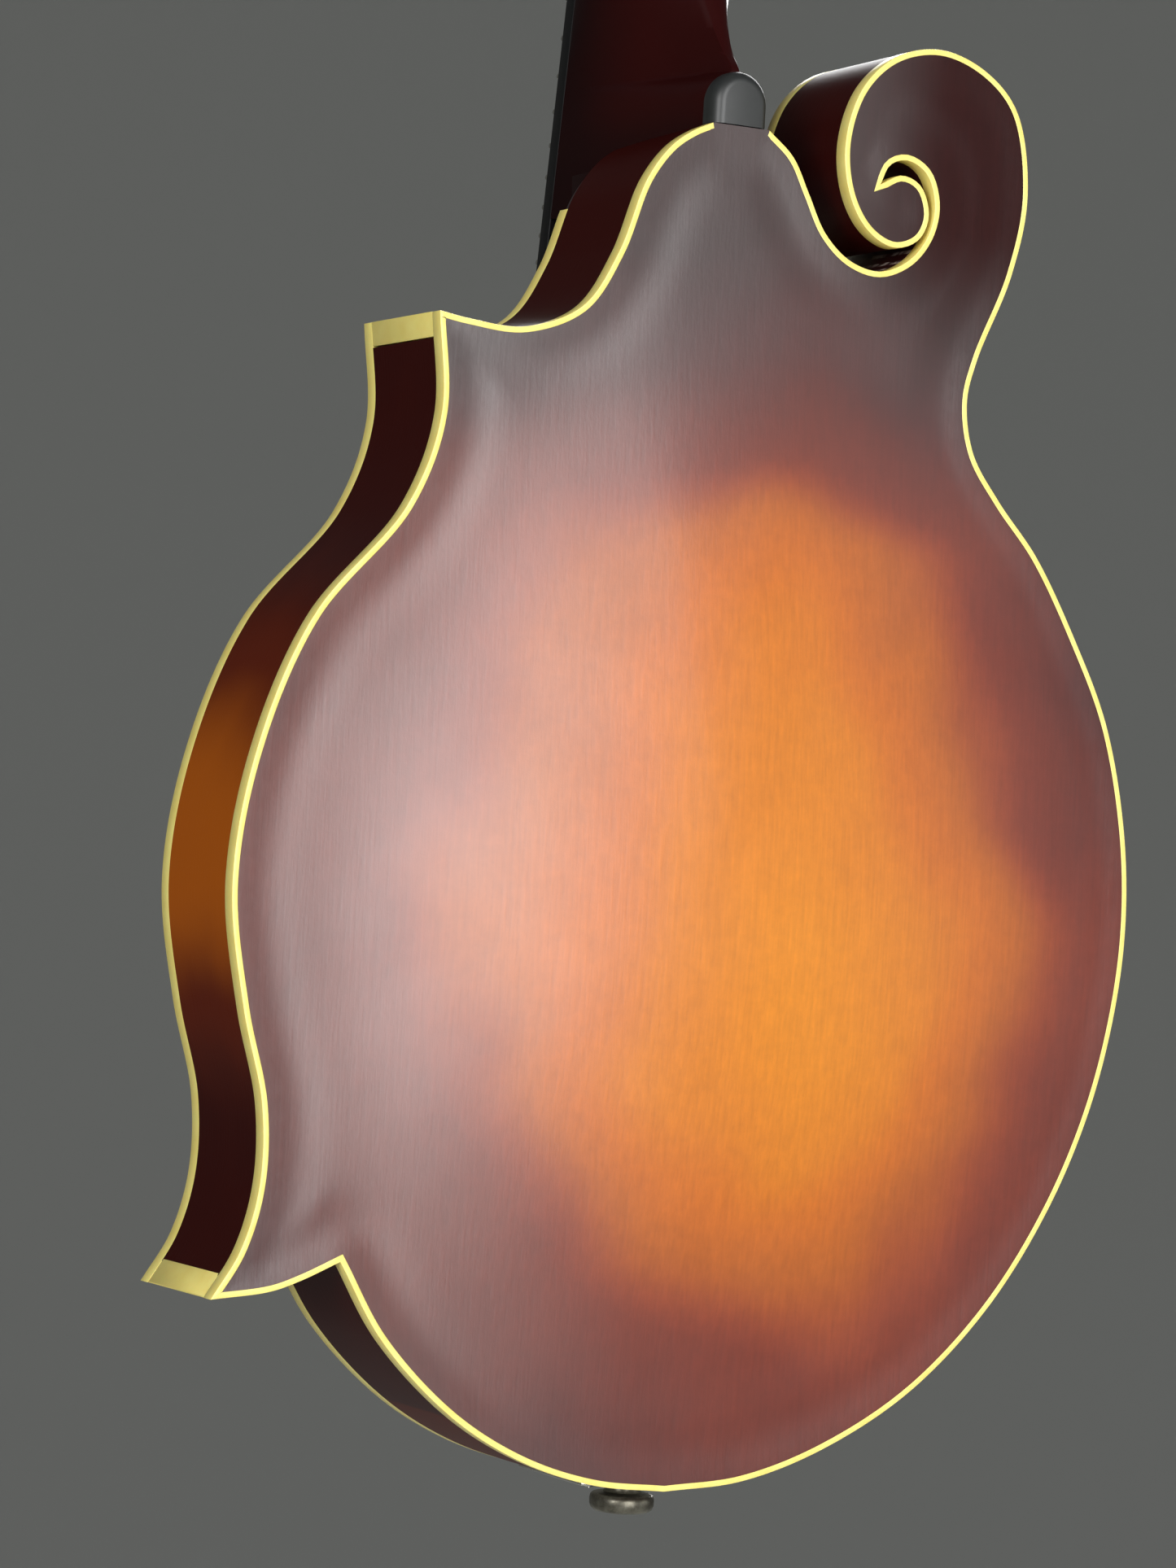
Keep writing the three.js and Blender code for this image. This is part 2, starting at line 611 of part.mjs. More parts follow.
const neckShaft = loft(neckSides, neckLevels, (turn, rise) => {
  const z = jointZ + rise;
  const [x, y] = neckSection(turn, z);
  return [x, y, z];
});
const bodyRoom = solid(prism(insetOutline(-glueGap), -blockFace - fitGap, edgeFace * 2));
const supportLength = boardOverhang - fitGap * 10;
const supportBack = topSurface(0, jointZ - supportLength) - archGap;
const supportTop = jointZ - tenonLength / 2;
const supportHalf = boardWidthAtBody / 2 - 1;
const support = solid(slab([
  new THREE.Vector2(supportBack, jointZ - supportLength), new THREE.Vector2(supportBack, supportTop),
  new THREE.Vector2(glueFace(supportTop), supportTop),
  new THREE.Vector2(glueFace(jointZ - supportLength), jointZ - supportLength),
], supportHalf * 2));
const tenonRoot = 2;
const tenon = solid(box(tenonWidth, tenonDepth, tenonLength + tenonRoot,
  [heelMiddle, ribFace - tenonDepth / 2 - plateEdge, jointZ - (tenonLength - tenonRoot) / 2]));

// The head: a generic crest of two lobes, the bass one round like the body's scroll.
const headShape = [
  [-0.46, -0.007], [-0.51, 0.05], [-0.85, 0.115], [-1, 0.17], [-1, 0.26], [-0.94, 0.45], [-0.92, 0.62],
  [-1, 0.75], [-1.12, 0.85], [-1.08, 0.94], [-0.8, 0.985], [-0.46, 0.965], [-0.26, 0.91], [0, 0.885],
  [0.26, 0.915], [0.6, 0.97], [0.95, 1], [1.06, 0.91], [0.96, 0.78], [0.91, 0.62], [0.94, 0.45],
  [1, 0.26], [1, 0.17], [0.85, 0.115], [0.51, 0.05], [0.46, -0.007],
].map(([x, z]) => new THREE.Vector2(x * headHalfWidth, z * headLength));
const headWood = prism(headShape, veneerThickness + glueGap, headThickness).applyMatrix4(headFrame.matrixWorld);

const postX = headHalfWidth - postInset;
const postPlaces = [0, 1, 2, 3].map((i) => firstPost + i * postPitch);
const headBores = [-1, 1].flatMap((side) => postPlaces.map((z) =>
  barAlongY(postRadius + fitGap * 1.5, side * postX, z, -postRise, headThickness * 2, 12)));
const rodRoom = trussRodRadius + fitGap * 1.5;
const rodSlot = box(rodRoom * 2, rodRoom * 2 + 1, neckLength,
  [0, boardThickness + rodRoom, neckLength / 2 + 16]);

let neck = solid(neckShaft).subtract(bodyRoom).add(support).add(tenon).add(solid(headWood));
neck = neck.subtract(solid(rodSlot.applyMatrix4(neckFrame.matrixWorld)));
for (const bore of headBores) neck = neck.subtract(solid(bore.clone().applyMatrix4(headFrame.matrixWorld)));
addPiece(body, 'neck', largestOf(neck), darkNeck);

const capOutline = [];
for (let i = 0; i <= 12; i += 1) {
  const angle = Math.PI * i / 12;
  const rise = capStraight + (heelCapHeight - capStraight) * Math.sin(angle);
  capOutline.push(new THREE.Vector2(heelMiddle + heelHalf * Math.cos(angle), jointZ + rise));
}
capOutline.push(new THREE.Vector2(heelMiddle - heelHalf, jointZ + glueGap));
capOutline.push(new THREE.Vector2(heelMiddle + heelHalf, jointZ + glueGap));
addPiece(body, 'heel_cap', prism(capOutline, ribFace + glueGap, edgeFace), darkNeck);

addPiece(neckFrame, 'truss_rod', roundBar(trussRodRadius, new THREE.Vector3(0, boardThickness + rodRoom, 18),
  new THREE.Vector3(0, boardThickness + rodRoom, neckLength + 4)), nickel);

// ---- Fingerboard and nut ---------------------------------------------------------------

const boardEnd = boardHalf(-boardOverhang);
addPiece(neckFrame, 'fingerboard', prism([
  new THREE.Vector2(-boardEnd, -boardOverhang), new THREE.Vector2(-nutWidth / 2, neckLength),
  new THREE.Vector2(nutWidth / 2, neckLength), new THREE.Vector2(boardEnd, -boardOverhang),
], 0, boardThickness), ebony);
addPiece(neckFrame, 'nut', box(nutWidth, boardThickness + nutRise, nutThickness - glueGap * 2,
  [0, (boardThickness - nutRise) / 2, neckLength + nutThickness / 2]), bone);

// ---- Head veneer and truss rod cover ---------------------------------------------------

const veneerStart = fitGap + veneerThickness * Math.tan(THREE.MathUtils.degToRad(headTilt));
const veneerShape = headShape.map((p) => new THREE.Vector2(p.x, Math.max(p.y, veneerStart)));
const rodDoor = box(rodRoom * 2, veneerThickness * 4, 14, [0, 0, 12]);
let veneer = solid(prism(veneerShape, 0, veneerThickness)).subtract(solid(rodDoor));
for (const bore of headBores) veneer = veneer.subtract(solid(bore));
addPiece(headFrame, 'head_veneer', largestOf(veneer), ebony);

const rodCover = [[-5.5, 3], [-6.5, 12], [-5, 22], [0, 29], [5, 22], [6.5, 12], [5.5, 3]]
  .map(([x, z]) => new THREE.Vector2(x, z));
addPiece(headFrame, 'truss_rod_cover', prism(rodCover, -glueGap - 1.6, -glueGap), ebony);

// ---- Tuners: two plates, eight keys with worms, eight posts with gears ------------------

const gearMiddle = headThickness + tunerPlateThickness + glueGap * 2 + gearThickness / 2 + 0.8;
const wormDrop = gearRadius + wormRadius + fitGap;
const lugSpread = 5.6;
const lugThickness = 1.6;
const plateMargin = 6;

function tunerPlate(side) {
  const low = firstPost - wormDrop - plateMargin;
  const high = postPlaces.at(-1) + plateMargin;
  const from = headThickness + glueGap;
  let plate = solid(box(tunerPlateWidth, tunerPlateThickness, high - low,
    [side * postX, from + tunerPlateThickness / 2, (low + high) / 2]));
  const lugHeight = gearMiddle + keyShaftRadius + 1.4 - from;
  for (const z of postPlaces) {
    for (const end of [-1, 1]) {
      plate = plate.add(solid(box(lugThickness, lugHeight, keyShaftRadius * 2 + 2.4,
        [side * postX + end * lugSpread, from + lugHeight / 2, z - wormDrop])));
    }
  }
  for (const z of postPlaces) {
    plate = plate.subtract(solid(barAlongY(postRadius + fitGap, side * postX, z, 0, headThickness * 2, 12)));
    plate = plate.subtract(solid(barAlongX(keyShaftRadius + fitGap, gearMiddle, z - wormDrop,
      side * postX - 20, side * postX + 20, 10)));
  }
  return plate;
}
addPiece(headFrame, 'tuner_plate_bass', tunerPlate(-1), nickel);
addPiece(headFrame, 'tuner_plate_treble', tunerPlate(1), nickel);

const buttonStart = headHalfWidth + 7;

function tunerKey(side, z) {
  const y = gearMiddle;
  const row = z - wormDrop;
  const worm = solid(barAlongX(wormRadius, y, row, side * postX - 4.4, side * postX + 4.4, 12));
  const shaftFrom = side * (postX - lugSpread - 1.4);
  const shaft = solid(barAlongX(keyShaftRadius, y, row, shaftFrom, side * (buttonStart + 3), 10));
  const button = new THREE.SphereGeometry(1, 12, 8).scale(buttonLength / 2, 3.9, 6.2)
    .translate(side * (buttonStart + buttonLength / 2), y, row);
  return worm.add(shaft).add(solid(button));
}

function gearOutline(x, z) {
  const tooth = 2 * Math.PI / gearTeeth;
  const points = [];
  for (let i = 0; i < gearTeeth; i += 1) {
    for (const share of [-0.28, -0.12, 0.12, 0.28]) {
      const radius = Math.abs(share) > 0.2 ? gearRadius - 0.7 : gearRadius;
      const angle = (i + share) * tooth;
      points.push(new THREE.Vector2(x + radius * Math.cos(angle), z + radius * Math.sin(angle)));
    }
  }
  return points;
}

function stringPost(side, z) {
  const gearFrom = gearMiddle - gearThickness / 2;
  const gear = solid(prism(gearOutline(side * postX, z), gearFrom, gearFrom + gearThickness));
  return gear.add(solid(barAlongY(postRadius, side * postX, z, -postRise, gearFrom + 1, 12)));
}

// ---- Bridge ----------------------------------------------------------------------------

const saddleTop = fromNeck(0, -actionAtBridge, neckLength - scaleLength);
const bridgeZ = saddleTop.z;
const footTop = topSurface(0, bridgeZ) - archGap - bridgeFootHeight;
const wheelLift = 1;

const footProfile = [];
const footSteps = 12;
for (let i = 0; i <= footSteps; i += 1) {
  const x = bridgeLength * (i / footSteps - 0.5);
  const under = Math.min(...[-1, 0, 1].map((edge) => topSurface(x, bridgeZ + edge * bridgeWidth / 2)));
  footProfile.push(new THREE.Vector2(x, under - archGap));
}
const footEnd = bridgeLength / 2;
const footFlat = wheelSpacing / 2 + wheelRadius;
const footEndTop = footProfile[0].y - 3;
footProfile.push(new THREE.Vector2(footEnd, footEndTop), new THREE.Vector2(footFlat, footTop));
footProfile.push(new THREE.Vector2(-footFlat, footTop), new THREE.Vector2(-footEnd, footEndTop));
const footShape = new THREE.Shape(footProfile);
const foot = new THREE.ExtrudeGeometry(footShape, { depth: bridgeWidth, bevelEnabled: false })
  .translate(0, 0, bridgeZ - bridgeWidth / 2);

const postTop = saddleTop.y + 4.5;
const postFoot = footTop + bridgeFootHeight - 2;
const saddleFoot = footTop - wheelLift - wheelThickness - fitGap;
const saddleProfile = [
  [saddleFoot, -saddleWidth / 2], [saddleTop.y + 4, -saddleWidth / 2], [saddleTop.y, -1.1],
  [saddleTop.y, 1.1], [saddleTop.y + 4, saddleWidth / 2], [saddleFoot, saddleWidth / 2],
].map(([y, z]) => new THREE.Vector2(y, bridgeZ + z));

let base = solid(foot);
let saddle = solid(slab(saddleProfile, saddleLength));
for (const [name, side] of [['bass', -1], ['treble', 1]]) {
  const x = side * wheelSpacing / 2;
  const room = bridgePostRadius + fitGap;
  base = base.subtract(solid(barAlongY(room, x, bridgeZ, footTop - 5, postFoot + fitGap, 12)));
  saddle = saddle.subtract(solid(barAlongY(room, x, bridgeZ, postTop - 2, saddleFoot + 5, 12)));
  const stud = barAlongY(bridgePostRadius, x, bridgeZ, postTop, postFoot, 12);
  addPiece(body, `bridge_post_${name}`, stud, brass);
  const wheelFrom = footTop - wheelLift - wheelThickness;
  const wheel = solid(barAlongY(wheelRadius, x, bridgeZ, wheelFrom, wheelFrom + wheelThickness, 20))
    .subtract(solid(barAlongY(room, x, bridgeZ, wheelFrom - 5, wheelFrom + 10, 12)));
  addPiece(body, `thumbwheel_${name}`, wheel, brass);
}
addPiece(body, 'bridge_base', base, ebony);
addPiece(body, 'bridge_saddle', saddle, ebony);

// ---- Tailpiece and end pin -------------------------------------------------------------

const deckRise = 4;
const deckLean = Math.atan2(topArch * 0.22, tailpieceLength);
const flangeLength = edgeFace + deckRise + 9;
const tailFrame = new THREE.Group();
tailFrame.position.set(0, -edgeFace - deckRise - tailpieceSheet, -tailpieceSheet - fitGap);
tailFrame.rotation.x = deckLean;
tailFrame.updateMatrixWorld(true);
const fromTail = (x, y, z) => new THREE.Vector3(x, y, z).applyMatrix4(tailFrame.matrixWorld);

const lipHeight = 2;
const hookZ = 14;
const hookSize = [1.6, 3.5, 3];
const stringX = (index, spacing, gap) => (Math.floor(index / 2) - 1.5) * spacing + (index % 2 - 0.5) * gap;
const bridgeX = (index) => stringX(index, courseSpacingAtBridge, pairGapAtBridge);

const hookShare = (tailpieceWidth - 6) / (courseSpacingAtBridge * 3 + pairGapAtBridge);
const hookX = (index) => bridgeX(index) * hookShare;
let tailpiece = solid(slab([
  new THREE.Vector2(0, 0), new THREE.Vector2(tailpieceSheet, 0),
  new THREE.Vector2(tailpieceSheet, tailpieceLength), new THREE.Vector2(-lipHeight, tailpieceLength),
  new THREE.Vector2(-lipHeight, tailpieceLength - tailpieceSheet),
  new THREE.Vector2(0, tailpieceLength - tailpieceSheet),
], tailpieceWidth));
for (let i = 0; i < 8; i += 1) {
  const [wide, tall, long] = hookSize;
  tailpiece = tailpiece.add(solid(box(wide, tall + 0.5, long, [hookX(i), -tall / 2 + 0.25, hookZ])));
}
const deckInBody = tailpiece.transform(tailFrame.matrixWorld.elements);
const flange = solid(box(tailpieceWidth, flangeLength, tailpieceSheet,
  [0, -edgeFace - deckRise - tailpieceSheet + flangeLength / 2, -fitGap - tailpieceSheet / 2]));
addPiece(body, 'tailpiece_base', deckInBody.add(flange).subtract(pinHole), nickel);

const coverHalf = tailpieceWidth / 2 + fitGap;
const coverFrom = 8;
const coverSection = [
  [-coverHalf - 1, 0.8], [-coverHalf - 1, -coverRise + 1.5],
  [-coverHalf + 1.5, -coverRise - 1], [coverHalf - 1.5, -coverRise - 1],
  [coverHalf + 1, -coverRise + 1.5], [coverHalf + 1, 0.8], [coverHalf, 0.8], [coverHalf, -coverRise + 2],
  [coverHalf - 2, -coverRise], [-coverHalf + 2, -coverRise], [-coverHalf, -coverRise + 2], [-coverHalf, 0.8],
].map(([x, y]) => new THREE.Vector2(x, y));
const coverLength = tailpieceLength - coverFrom + 4;
const coverShape = new THREE.Shape(coverSection);
const cover = new THREE.ExtrudeGeometry(coverShape, { depth: coverLength, bevelEnabled: false })
  .translate(0, 0, coverFrom);
addPiece(tailFrame, 'tailpiece_cover', cover, nickel);

const pinTop = -tailpieceSheet - fitGap * 2;
const headFrom = pinTop - 1.4;
const headTo = headFrom - pinHeadThickness;
const pinProfile = [
  [0, headTo], [pinHeadRadius - 2.4, headTo],
  [pinHeadRadius - 0.5, headTo + 1], [pinHeadRadius, headTo + 2.4],
  [pinHeadRadius - 0.6, headFrom - 0.6], [pinWaistRadius, headFrom], [pinWaistRadius, pinTop],
  [pinShankRadius, pinTop], [pinShankRadius * 0.85, tailBlockLength * 0.9], [0, tailBlockLength * 0.9],
].map(([r, z]) => new THREE.Vector2(r, z));
addPiece(body, 'end_pin', new THREE.LatheGeometry(pinProfile, 24).rotateX(Math.PI / 2), agedNickel);

// ---- Strings, keys and posts -----------------------------------------------------------

// Outer courses go to the two posts nearest the nut, inner ones to the two beyond.
courses.forEach((course, c) => {
  const places = course.outer ? [0, 1] : [2, 3];
  const nearEdgeFirst = course.side < 0 ? [0, 1] : [1, 0];
  for (const member of [0, 1]) {
    const index = c * 2 + member;
    const name = `${course.name}${member + 1}`;
    const place = postPlaces[places[nearEdgeFirst[member]]];
    addPiece(headFrame, `tuner_key_${name}`, tunerKey(course.side, place), nickel);
    addPiece(headFrame, `string_post_${name}`, stringPost(course.side, place), nickel);

    const half = course.gauge / 2;
    const nutX = stringX(index, courseSpacingAtNut, pairGapAtNut);
    const tangentX = course.side * (postX - postRadius - half - fitGap);
    const hookTop = hookZ + hookSize[2] / 2 + fitGap;
    addPiece(body, `string_${name}`, tubeThrough([
      fromHead(tangentX, -postRise / 2, place),
      fromNeck(nutX, -nutRise - half - fitGap / 2, neckLength + nutThickness),
      new THREE.Vector3(bridgeX(index), saddleTop.y - half - fitGap, bridgeZ),
      fromTail(hookX(index), -lipHeight - half - fitGap, tailpieceLength - tailpieceSheet / 2),
      fromTail(hookX(index), -hookSize[1] / 2 - half, hookTop),
    ], half), stringSteel);
  }
});

// ---- The part: hung by the neck, with its origin behind the nut ------------------------

body.add(neckFrame, tailFrame);
const hanger = fromNeck(0, boardThickness + (neckDepthAtNut - boardThickness) / 2, neckLength);
body.position.copy(hanger).negate();

const mandolin = new THREE.Group();
mandolin.add(body);

export default mandolin;
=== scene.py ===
import json
import math

import bmesh
import bpy
from mathutils import Matrix, Vector, kdtree
from mathutils.geometry import delaunay_2d_cdt, intersect_point_line

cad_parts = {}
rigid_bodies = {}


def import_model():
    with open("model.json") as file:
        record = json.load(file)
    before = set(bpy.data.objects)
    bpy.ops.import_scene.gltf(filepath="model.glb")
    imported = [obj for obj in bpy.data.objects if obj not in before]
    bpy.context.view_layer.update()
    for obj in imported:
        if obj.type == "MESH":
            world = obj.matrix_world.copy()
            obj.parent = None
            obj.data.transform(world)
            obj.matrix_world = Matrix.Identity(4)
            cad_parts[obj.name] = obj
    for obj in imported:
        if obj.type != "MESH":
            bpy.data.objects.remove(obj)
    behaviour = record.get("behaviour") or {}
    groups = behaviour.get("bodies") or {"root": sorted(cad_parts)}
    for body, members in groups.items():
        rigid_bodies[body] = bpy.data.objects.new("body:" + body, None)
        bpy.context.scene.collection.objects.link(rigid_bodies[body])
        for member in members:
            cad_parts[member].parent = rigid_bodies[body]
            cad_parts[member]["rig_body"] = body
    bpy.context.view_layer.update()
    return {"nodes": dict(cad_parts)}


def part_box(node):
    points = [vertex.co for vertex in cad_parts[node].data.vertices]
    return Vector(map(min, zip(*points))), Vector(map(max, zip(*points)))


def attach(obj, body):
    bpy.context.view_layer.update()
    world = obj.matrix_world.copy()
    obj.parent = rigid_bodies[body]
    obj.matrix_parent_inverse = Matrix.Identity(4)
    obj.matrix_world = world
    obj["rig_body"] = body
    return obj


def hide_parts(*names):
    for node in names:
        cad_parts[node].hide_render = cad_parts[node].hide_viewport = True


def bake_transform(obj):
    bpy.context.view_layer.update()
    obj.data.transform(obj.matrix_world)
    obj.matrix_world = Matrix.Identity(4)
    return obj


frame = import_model()

# ---- Camera and studio ---------------------------------------------------------------
# The instrument hangs upright and is looked at from behind, a little to the treble side.
# The camera is a long lens about 1.2 m away, turned a few degrees on its axis.

MM = 0.001
back_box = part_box("binding_back")
top_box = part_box("binding_top")
BODY_TAIL = back_box[0][2]
BODY_MIDDLE = (back_box[1][1] + top_box[0][1]) / 2


def spot(x, y, z):
    """A place on the body in millimetres: across, back from the mid plane, up from the tail."""
    return Vector((x * MM, BODY_MIDDLE + y * MM, BODY_TAIL + z * MM))


camera = bpy.data.objects.new("camera", bpy.data.cameras.new("camera"))
bpy.context.scene.collection.objects.link(camera)
bpy.context.scene.camera = camera
camera.location = spot(571.4, 1056.9, 154.35)
AZIMUTH = math.radians(27.4876)
RISE = math.radians(-0.9964)
ROLL = math.radians(3.35)
looking = -Vector((math.sin(AZIMUTH) * math.cos(RISE), math.cos(AZIMUTH) * math.cos(RISE), math.sin(RISE)))
aimed = looking.to_track_quat("-Z", "Y").to_matrix() @ Matrix.Rotation(ROLL, 3, "Z")
camera.rotation_euler = aimed.to_euler()
camera.data.sensor_width = 36
bpy.context.scene.view_settings.view_transform = "Standard"
camera.data.lens = 108.69


def linear(hex_code):
    """An sRGB hex colour as the linear RGBA that shader sockets take."""
    parts = [int(hex_code[i:i + 2], 16) / 255 for i in (1, 3, 5)]
    return tuple(c / 12.92 if c <= 0.04045 else ((c + 0.055) / 1.055) ** 2.4 for c in parts) + (1.0,)


def node(material, kind, links=(), inputs=None, **properties):
    """Adds a shader node with its properties, its socket values, and links as (output, socket)."""
    made = material.node_tree.nodes.new("ShaderNode" + kind)
    for name, value in properties.items():
        setattr(made, name, value)
    for socket, value in (inputs or {}).items():
        made.inputs[socket].default_value = value
    for output, socket in links:
        material.node_tree.links.new(output, made.inputs[socket])
    return made


def new_material(name):
    """An empty node material, with all its nodes cleared."""
    made = bpy.data.materials.new(name)
    made.use_nodes = True
    made.node_tree.nodes.clear()
    return made


def surface(material, shader):
    """Joins a finished shader to the material's output."""
    out = node(material, "OutputMaterial")
    material.node_tree.links.new(shader.outputs[0], out.inputs["Surface"])
    return material


# Matt paper: an even pale grey with no shine.
backdrop_finish = new_material("pale_studio_paper")
surface(backdrop_finish, node(backdrop_finish, "BsdfPrincipled", inputs={
    "Base Color": linear("#B6B7B3"), "Roughness": 0.95}))

FLOOR = -1.7
FLOOR_RADIUS = 2.4
COVE = 3.6
sweep = bmesh.new()
profile = [(0, 0), (FLOOR_RADIUS, 0)]
for step in range(1, 17):
    angle = math.radians(90) * step / 16
    profile.append((FLOOR_RADIUS + COVE * math.sin(angle), COVE * (1 - math.cos(angle))))
profile.append((FLOOR_RADIUS + COVE, COVE + 1.5))
line = [sweep.verts.new((r, 0, z + FLOOR)) for r, z in profile]
edges = [sweep.edges.new(pair) for pair in zip(line, line[1:])]
bmesh.ops.spin(sweep, geom=line + edges, cent=(0, 0, 0), axis=(0, 0, 1), angle=math.tau,
               steps=72, use_merge=True)
bmesh.ops.remove_doubles(sweep, verts=sweep.verts, dist=0.0001)
bmesh.ops.recalc_face_normals(sweep, faces=sweep.faces)
sweep_mesh = bpy.data.meshes.new("backdrop")
sweep.to_mesh(sweep_mesh)
backdrop = bpy.data.objects.new("backdrop", sweep_mesh)
bpy.context.scene.collection.objects.link(backdrop)
backdrop.data.materials.append(backdrop_finish)
for polygon in backdrop.data.polygons:
    polygon.use_smooth = True

world = bpy.data.worlds.new("studio_air")
bpy.context.scene.world = world
world.use_nodes = True
world.node_tree.nodes["Background"].inputs["Color"].default_value = linear("#E6EAF0")
world.node_tree.nodes["Background"].inputs["Strength"].default_value = 0.14


def softbox(name, place, target, width, height, watts):
    """A rectangular soft light aimed at a place on the instrument."""
    lamp = bpy.data.lights.new(name, "AREA")
    lamp.shape = "RECTANGLE"
    lamp.size = width
    lamp.size_y = height
    lamp.energy = watts
    holder = bpy.data.objects.new(name, lamp)
    bpy.context.scene.collection.objects.link(holder)
    holder.location = place
    holder.rotation_euler = (Vector(target) - Vector(place)).to_track_quat("-Z", "Y").to_euler()
    holder.visible_camera = False


body_centre = spot(0, 0, 180)
softbox("key_box", body_centre + Vector((0.05, 2.0, 0.25)), body_centre, 1.0, 2.0, 42)
softbox("side_box", body_centre + Vector((1.9, 1.4, 0.5)), body_centre, 0.7, 1.3, 30)
softbox("fill_box", body_centre + Vector((-2.0, 1.2, 0.2)), body_centre, 1.2, 1.6, 7)
softbox("front_box", body_centre + Vector((-1.5, -2.0, 1.0)), body_centre, 1.4, 1.6, 60)

# ---- Body outline --------------------------------------------------------------------
# The body's edge as a maker's template gives it: round bouts, a scroll that curls in on the
# bass side, and two sharp points on the treble side. Stretches meet at corners.

UPPER_POINT = (80.8, 286.8)
LOWER_POINT = (125.6, 46.6)
NOTCH = (92.3, 56)
SLOT_TIP = (-40.8, 331.8)
HEEL_BASS = (-7.5, 341.5)
HEEL_TREBLE = (8.5, 341.5)
STRETCHES = {
    "bass_side": [
        (0, 0), (-22, 2.4), (-45, 10.3), (-70, 25), (-92, 46.5), (-109, 72.5), (-120, 98.5),
        (-126.2, 125), (-128, 148), (-125.8, 172), (-118.5, 199), (-107, 221), (-94, 241),
        (-81.5, 254.5), (-73, 266), (-70.2, 279), (-72.5, 290), (-81.5, 313), (-85, 334),
        (-80.5, 355), (-71, 364), (-57, 368.2), (-43.5, 364.8), (-34, 355.5), (-29.8, 341),
        (-32, 328), (-38, 319.5), (-46, 316.2), (-53, 319), (-55.6, 325.3), (-52.8, 332.7),
        (-47, 334.8), SLOT_TIP],
    "slot_side": [
        SLOT_TIP, (-43.3, 337), (-48.3, 338.8), (-54.3, 336), (-57.2, 328.5), (-55.8, 320.5),
        (-50.5, 313.5), (-42, 309.7), (-33, 311.5), (-25.5, 317.5), (-20, 327), (-15, 335.5),
        HEEL_BASS],
    "heel": [HEEL_BASS, HEEL_TREBLE],
    "treble_shoulder": [
        HEEL_TREBLE, (14, 338.8), (20, 334.2), (26.2, 325.3), (32.9, 306.4), (41.9, 292.1),
        (57.4, 285.3), (72.8, 285.7), UPPER_POINT],
    "treble_waist": [
        UPPER_POINT, (78.7, 262), (86.2, 239.3), (109.3, 210.5), (122.2, 177), (126.3, 145),
        (121.5, 116), (115.2, 93), (114.6, 74), (118.5, 58.5), LOWER_POINT],
    "point_underside": [LOWER_POINT, (110, 48.7), (102, 51.5), NOTCH],
    "treble_tail": [NOTCH, (80, 37), (60, 18.5), (40, 7.5), (20, 1.7), (0, 0)],
}


def curve_through(points, spacing, closed=False):
    """Evenly spaced points on a centripetal Catmull-Rom curve through the given ones."""
    knots = [Vector(p) for p in points]
    if closed:
        knots = [knots[-1]] + knots + knots[:2]
    else:
        knots = [2 * knots[0] - knots[1]] + knots + [2 * knots[-1] - knots[-2]]
    fine = []
    for p0, p1, p2, p3 in zip(knots, knots[1:], knots[2:], knots[3:]):
        t1 = (p1 - p0).length ** 0.5
        t2 = t1 + (p2 - p1).length ** 0.5
        t3 = t2 + (p3 - p2).length ** 0.5
        for i in range(24):
            t = t1 + (t2 - t1) * i / 24
            a1 = p0 * ((t1 - t) / t1) + p1 * (t / t1)
            a2 = p1 * ((t2 - t) / (t2 - t1)) + p2 * ((t - t1) / (t2 - t1))
            a3 = p2 * ((t3 - t) / (t3 - t2)) + p3 * ((t - t2) / (t3 - t2))
            b1 = a1 * ((t2 - t) / t2) + a2 * (t / t2)
            b2 = a2 * ((t3 - t) / (t3 - t1)) + a3 * ((t - t1) / (t3 - t1))
            fine.append(b1 * ((t2 - t) / (t2 - t1)) + b2 * ((t - t1) / (t2 - t1)))
    fine.append(knots[-2].copy())
    lengths = [0.0]
    for a, b in zip(fine, fine[1:]):
        lengths.append(lengths[-1] + (b - a).length)
    count = max(int(round(lengths[-1] / spacing)), 2)
    spaced = []
    j = 0
    for i in range(count + 1):
        want = lengths[-1] * i / count
        while j < len(fine) - 2 and lengths[j + 1] < want:
            j += 1
        share = (want - lengths[j]) / max(lengths[j + 1] - lengths[j], 1e-9)
        spaced.append(fine[j].lerp(fine[j + 1], min(max(share, 0), 1)))
    return spaced[:-1] if closed else spaced


outline = []
starts = {}
for name, points in STRETCHES.items():
    starts[name] = len(outline)
    outline += curve_through(points, 1.6)[:-1]


def inset_point(index, inset):
    """An outline point moved into the wood, square to the edge, with a limit at sharp corners."""
    count = len(outline)
    before, here, after = (outline[(index + k) % count] for k in (-1, 0, 1))
    first = Vector((here.y - before.y, before.x - here.x)).normalized()
    second = Vector((after.y - here.y, here.x - after.x)).normalized()
    middle = (first + second).normalized()
    return here + middle * inset * min(1 / max(middle.dot(first), 0.1), 1.9)


edge_tree = kdtree.KDTree(len(outline))
for i, point in enumerate(outline):
    edge_tree.insert((point.x, point.y, 0), i)
edge_tree.balance()

